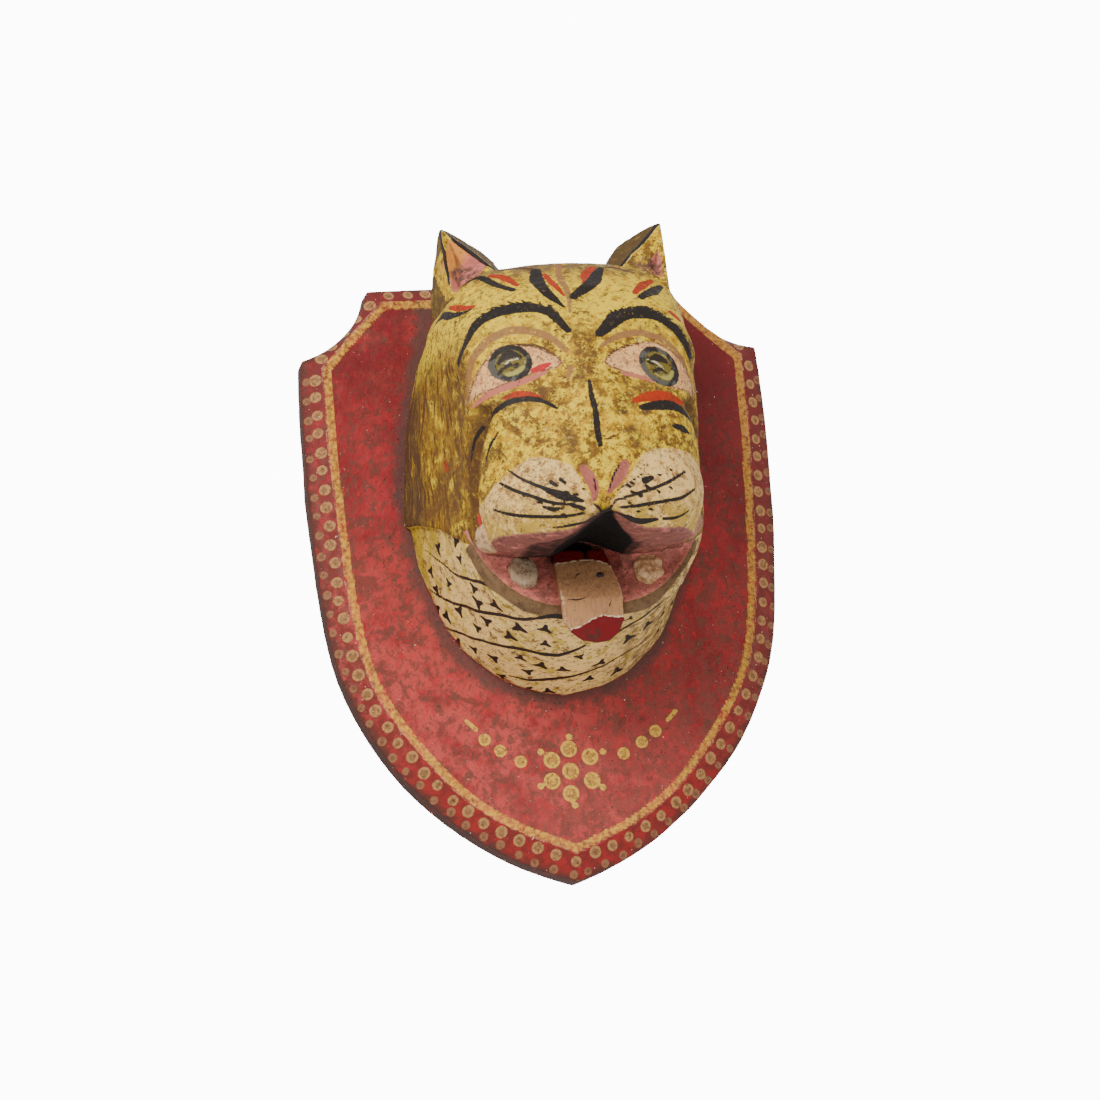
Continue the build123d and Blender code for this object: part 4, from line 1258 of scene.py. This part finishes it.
# ---- camera ----
TARGET = Vector((-0.7, -30.0, 15.5)) * MM
CAMERA_DISTANCE = 2.680
AZIMUTH, ELEVATION, ROLL = math.radians(12), math.radians(-12.5), math.radians(5.1)
reach = math.cos(ELEVATION)
back = Vector((-math.sin(AZIMUTH) * reach, -math.cos(AZIMUTH) * reach, math.sin(ELEVATION)))
level = Vector((math.cos(AZIMUTH), -math.sin(AZIMUTH), 0))
upright = back.cross(level)
right = math.cos(ROLL) * level - math.sin(ROLL) * upright
up = math.sin(ROLL) * level + math.cos(ROLL) * upright
camera = bpy.data.objects.new("camera", bpy.data.cameras.new("camera"))
camera.data.lens = 130.9
camera.data.sensor_width = 36.0
turned = Matrix((right, up, back)).transposed().to_4x4()
camera.matrix_world = Matrix.Translation(TARGET + back * CAMERA_DISTANCE) @ turned
bpy.context.scene.collection.objects.link(camera)
bpy.context.scene.camera = camera

# ---- build the pieces ----
CONTACT = [
    (-70, 185), (-79, 151), (-93, 96), (-97, 59), (-90, -3), (-73, -47), (-48, -72), (-6, -85), (35, -79),
    (65, -54), (80, -18), (90, 10), (96, 59), (92, 100), (80, 150), (60, 178),
]
PETALS = [(0, -135), (0, -120), (-12, -127), (14, -126), (-13, -141), (14, -142), (-1, -150)]
BUDS = [(1, -112), (-19, -121), (23, -123), (-21, -144), (21, -147), (1, -158)]
GARLAND = [(-56, -111), (-46, -119), (-33, -127), (37, -125), (50, -118), (60, -111)]
DASHES = [[(-67, -98), (-61, -104)], [(69, -104), (75, -98)]]
PETAL_RADIUS, BUD_RADIUS, GARLAND_RADIUS, INNER_RADIUS, OUTER_RADIUS = 5.6, 2.3, 4.2, 3.7, 2.8
INNER_PITCH, OUTER_PITCH = 12.6, 13.4


def along(loop, step, outward):
    """Places at a steady pitch along a clockwise outline, moved that far out of it."""
    loop = np.array(loop + loop[:1])
    run = np.concatenate([[0], np.cumsum(np.linalg.norm(np.diff(loop, axis=0), axis=1))])
    count = round(run[-1] / step)
    stops = (np.arange(count) + 0.5) * run[-1] / count

    def spots(shift):
        return np.column_stack([np.interp((stops + shift) % run[-1], run, loop[:, i]) for i in (0, 1)])

    way = spots(4) - spots(-4)
    way /= np.linalg.norm(way, axis=1)[:, None]
    return spots(0) + np.column_stack([-way[:, 1], way[:, 0]]) * outward


def dots_distance(px, pz, centres, radii):
    """Distance from each point of the board to the nearest round dab's edge."""
    best = np.full(len(px), FAR)
    for (cx, cz), radius in zip(centres, radii):
        best = np.minimum(best, np.hypot(px - cx, pz - cz) - radius)
    return best


def paint_shield(obj, place):
    """The board's border, its two rows of dots, its flower and its bare rear."""
    px, pw, pz = place.T
    border = line_distance(px, pz, ARRIS, closed=True)
    on_front = np.where(pw < -9.6, FAR, 0)
    in_pocket = (np.abs(px) < POCKET_HALF[0] + 3) & (np.abs(pz - POCKET_AT) < POCKET_HALF[1] + 3) & (pw < -15)

    rng = np.random.default_rng(41)
    inner = along(ARRIS, INNER_PITCH, 5.3)
    outer = along(OUTLINE, OUTER_PITCH, -3.7)
    outer = outer[outer[:, 1] < 140]
    centres = np.vstack([inner, outer])
    centres += rng.normal(0, 0.45, centres.shape)
    radii = np.concatenate([np.full(len(inner), INNER_RADIUS), np.full(len(outer), OUTER_RADIUS)])
    radii = radii * rng.uniform(0.88, 1.1, len(centres))
    off_board = np.where(pw < -11, FAR, -FAR)
    inner_dots = dots_distance(px, pz, centres[: len(inner)], radii[: len(inner)])
    outer_dots = dots_distance(px, pz, centres[len(inner) :], radii[len(inner) :])

    sizes = [PETAL_RADIUS] * len(PETALS) + [BUD_RADIUS] * len(BUDS) + [GARLAND_RADIUS] * len(GARLAND)
    flower = dots_distance(px, pz, PETALS + BUDS + GARLAND, sizes)
    for dash in DASHES:
        flower = np.minimum(flower, line_distance(px, pz, dash) - 1.5)
    store(
        obj,
        inset=line_distance(px, pz, OUTLINE, closed=True),
        across=px,
        depth=pw,
        height=pz,
        bevel=np.where(pw < -12, -FAR, border),
        gold=np.maximum(np.abs(border + 3.0) - 3.0, on_front),
        arris=np.maximum(np.abs(border) - 0.55, on_front),
        # distance from where the head meets the board, for the head's painted shadow
        soot=line_distance(px, pz, CONTACT),
        bare=np.where(in_pocket, -FAR, pw + 28.8),
        dots=np.maximum(inner_dots, off_board),
        outer_dots=np.maximum(outer_dots, off_board),
        flower=np.maximum(flower, np.where(pw < -3, FAR, -FAR)),
    )
    return obj


EAR_EDGES = [[(73, 91, 212), (58, 97, 197), (42, 102, 181)], [(74, 91, 212), (77, 97, 193), (77, 103, 172)]]


def paint_ear(obj, place, mirror):
    """The ear's front, its hollow and the ink along its edges."""
    out, ahead_by, up_by = place[:, 0] * mirror, place[:, 1], place[:, 2]
    rim = line_distance(out, up_by, EAR_HOLLOWS[mirror], closed=True)
    edges = [np.array(line) * (mirror, 1, 1) for line in EAR_EDGES]
    ink = [((3.8, 3.4, 2.4), line - (0, 1.6, -0.6)) for line in edges]
    pale = [((1.4, 1.8, 1.2), line) for line in edges]
    snap = nearest_on(obj)
    store(
        obj,
        front=np.maximum(-ear_front(ahead_by, up_by) - 1.8, -FAR) + np.where(rim < 0.5, -FAR, 0),
        dish=rim + (2.4 if mirror < 0 else 3.2),
        shade=np.hypot((out - 62) / 1.4, up_by - 181) - 7,
        facet=0.707 * (out - 74 - up_by + 213) + 0.6,
        tip=(out + 0.7 * up_by - 194) if mirror < 0 else out * 0 - FAR,
        black=stroke_distance(place, snap, ink),
        pale=stroke_distance(place, snap, pale),
    )
    return obj


WOOD_OUTLINE = [
    (-22, -15), (-14, -15.5), (-6, -14), (4, -13.5), (11, -15), (16, -18), (20, -22), (24, -28), (24, -56),
    (14, -56), (6, -54.5), (-2, -57), (-9, -61), (-16, -63), (-22, -60),
]
CRACKS = [
    [(-2, 102, -22.5), (-6, 103, -23.5), (-8.5, 105, -28)],
    [(10, 112, -50), (11, 112, -47), (12, 111, -45)],
    [(-21, 110, -42), (-10, 111, -43.5), (-2, 111, -43)],
    [(-13, 112, -51), (-12, 112, -50.5)],
    [(5, 111, -60), (5, 111, -66)],
]


def paint_tongue(obj, place):
    """Where the wood shows, the dark middle of the painted tip, the groove and the cracks."""
    px, _, pz = place.T
    store(
        obj,
        wood=line_distance(px, pz, WOOD_OUTLINE, closed=True),
        middle=np.hypot((px + 2) * 0.8, (pz + 66) * 0.9),
        groove=np.maximum(np.abs(px - 3 - 0.1 * (pz + 10)) - 1.4, -12 - pz),
        crack=stroke_distance(place, nearest_on(obj), [((0.4, 0.9, 0.4), line) for line in CRACKS]),
    )
    return obj


def paint_canine(obj, place, mirror):
    """How far each point stands out of the jaw."""
    proud = (place - np.array(CANINE_AT) * (mirror, 1, 1)) @ np.array(CANINE_LEAN)
    store(obj, proud=proud, across=place[:, 0])
    return obj


tiger_head = paint_head(*sculpt_head().mesh("tiger_head"))
shield = paint_shield(*sculpt_plaque().mesh("shield"))
left_ear = paint_ear(*sculpt_ear(-1, 13).mesh("ear_left"), -1)
right_ear = paint_ear(*sculpt_ear(1, 17).mesh("ear_right"), 1)
tongue = paint_tongue(*sculpt_tongue().mesh("tongue_slab"))
left_canine = paint_canine(*sculpt_canine(-1, 3).mesh("peg_left"), -1)
right_canine = paint_canine(*sculpt_canine(1, 9).mesh("peg_right"), 1)
nail, _ = sculpt_nail().mesh("nail")

head_material(tiger_head)
plaque_material(shield)
ear_material(left_ear, right_ear)
tongue_material(tongue)
peg_material(left_canine, right_canine)
steel_material("dull_steel", [nail, nodes["head_screws"]], 0.14)
hanger = [nodes[name] for name in ("hanger_strap", "hanger_ring", "hanger_screws")]
steel_material("hanger_steel", hanger, 0.05)

for piece, node, slot in (
    (tiger_head, "head", "tiger_paint"),
    (shield, "shield_plaque", "red_paint"),
    (left_ear, "left_ear", "ear_paint"),
    (right_ear, "right_ear", "ear_paint"),
    (tongue, "tongue", "tongue_wood"),
    (left_canine, "left_canine", "peg_wood"),
    (right_canine, "right_canine", "peg_wood"),
    (nail, "tongue_nail", "dull_steel"),
):
    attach(piece, "trophy")
    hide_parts(node)

# ---- light, floor, world ----
def area_light(name, place, size, power, colour=(1, 1, 1)):
    """A round lamp that faces the trophy, size in metres and power in watts."""
    data = bpy.data.lights.new(name, "AREA")
    data.shape = "DISK"
    data.size, data.energy, data.color = size, power, colour
    light = bpy.data.objects.new(name, data)
    light.location = place
    light.rotation_euler = (TARGET - Vector(place)).to_track_quat("-Z", "Y").to_euler()
    bpy.context.scene.collection.objects.link(light)


area_light("key", (-1.4, -2.2, 1.3), 1.4, 66, (1, 0.98, 0.94))
area_light("fill", (1.9, -1.6, 0.1), 1.8, 6)
area_light("back_fill", (0.6, 2.2, 1.0), 2.0, 24)

# The world lights the piece softly, and shows as plain white behind it.
WORLD_LIGHT, WORLD_SEEN = 0.7, 12.0
world = bpy.data.worlds.new("studio")
bpy.context.scene.world = world
world.use_nodes = True
world_nodes, links = world.node_tree.nodes, world.node_tree.links
soft, seen = world_nodes["Background"], world_nodes.new("ShaderNodeBackground")
for background, strength in ((soft, WORLD_LIGHT), (seen, WORLD_SEEN)):
    background.inputs["Color"].default_value = (1, 1, 1, 1)
    background.inputs["Strength"].default_value = strength
path, either = world_nodes.new("ShaderNodeLightPath"), world_nodes.new("ShaderNodeMixShader")
for socket, entry in zip((path.outputs["Is Camera Ray"], soft.outputs[0], seen.outputs[0]), either.inputs):
    links.new(socket, entry)
links.new(either.outputs[0], world_nodes["World Output"].inputs[0])

FLOOR_AT = -1.05
bpy.ops.mesh.primitive_plane_add(size=60, location=(0, 0, FLOOR_AT))
floor = bpy.context.object
floor.name = "floor"
floor_material = bpy.data.materials.new("floor")
floor_material.use_nodes = True
floor_shader = floor_material.node_tree.nodes["Principled BSDF"]
floor_shader.inputs["Base Color"].default_value = (0.85, 0.85, 0.84, 1)
floor_shader.inputs["Roughness"].default_value = 0.8
floor.data.materials.append(floor_material)
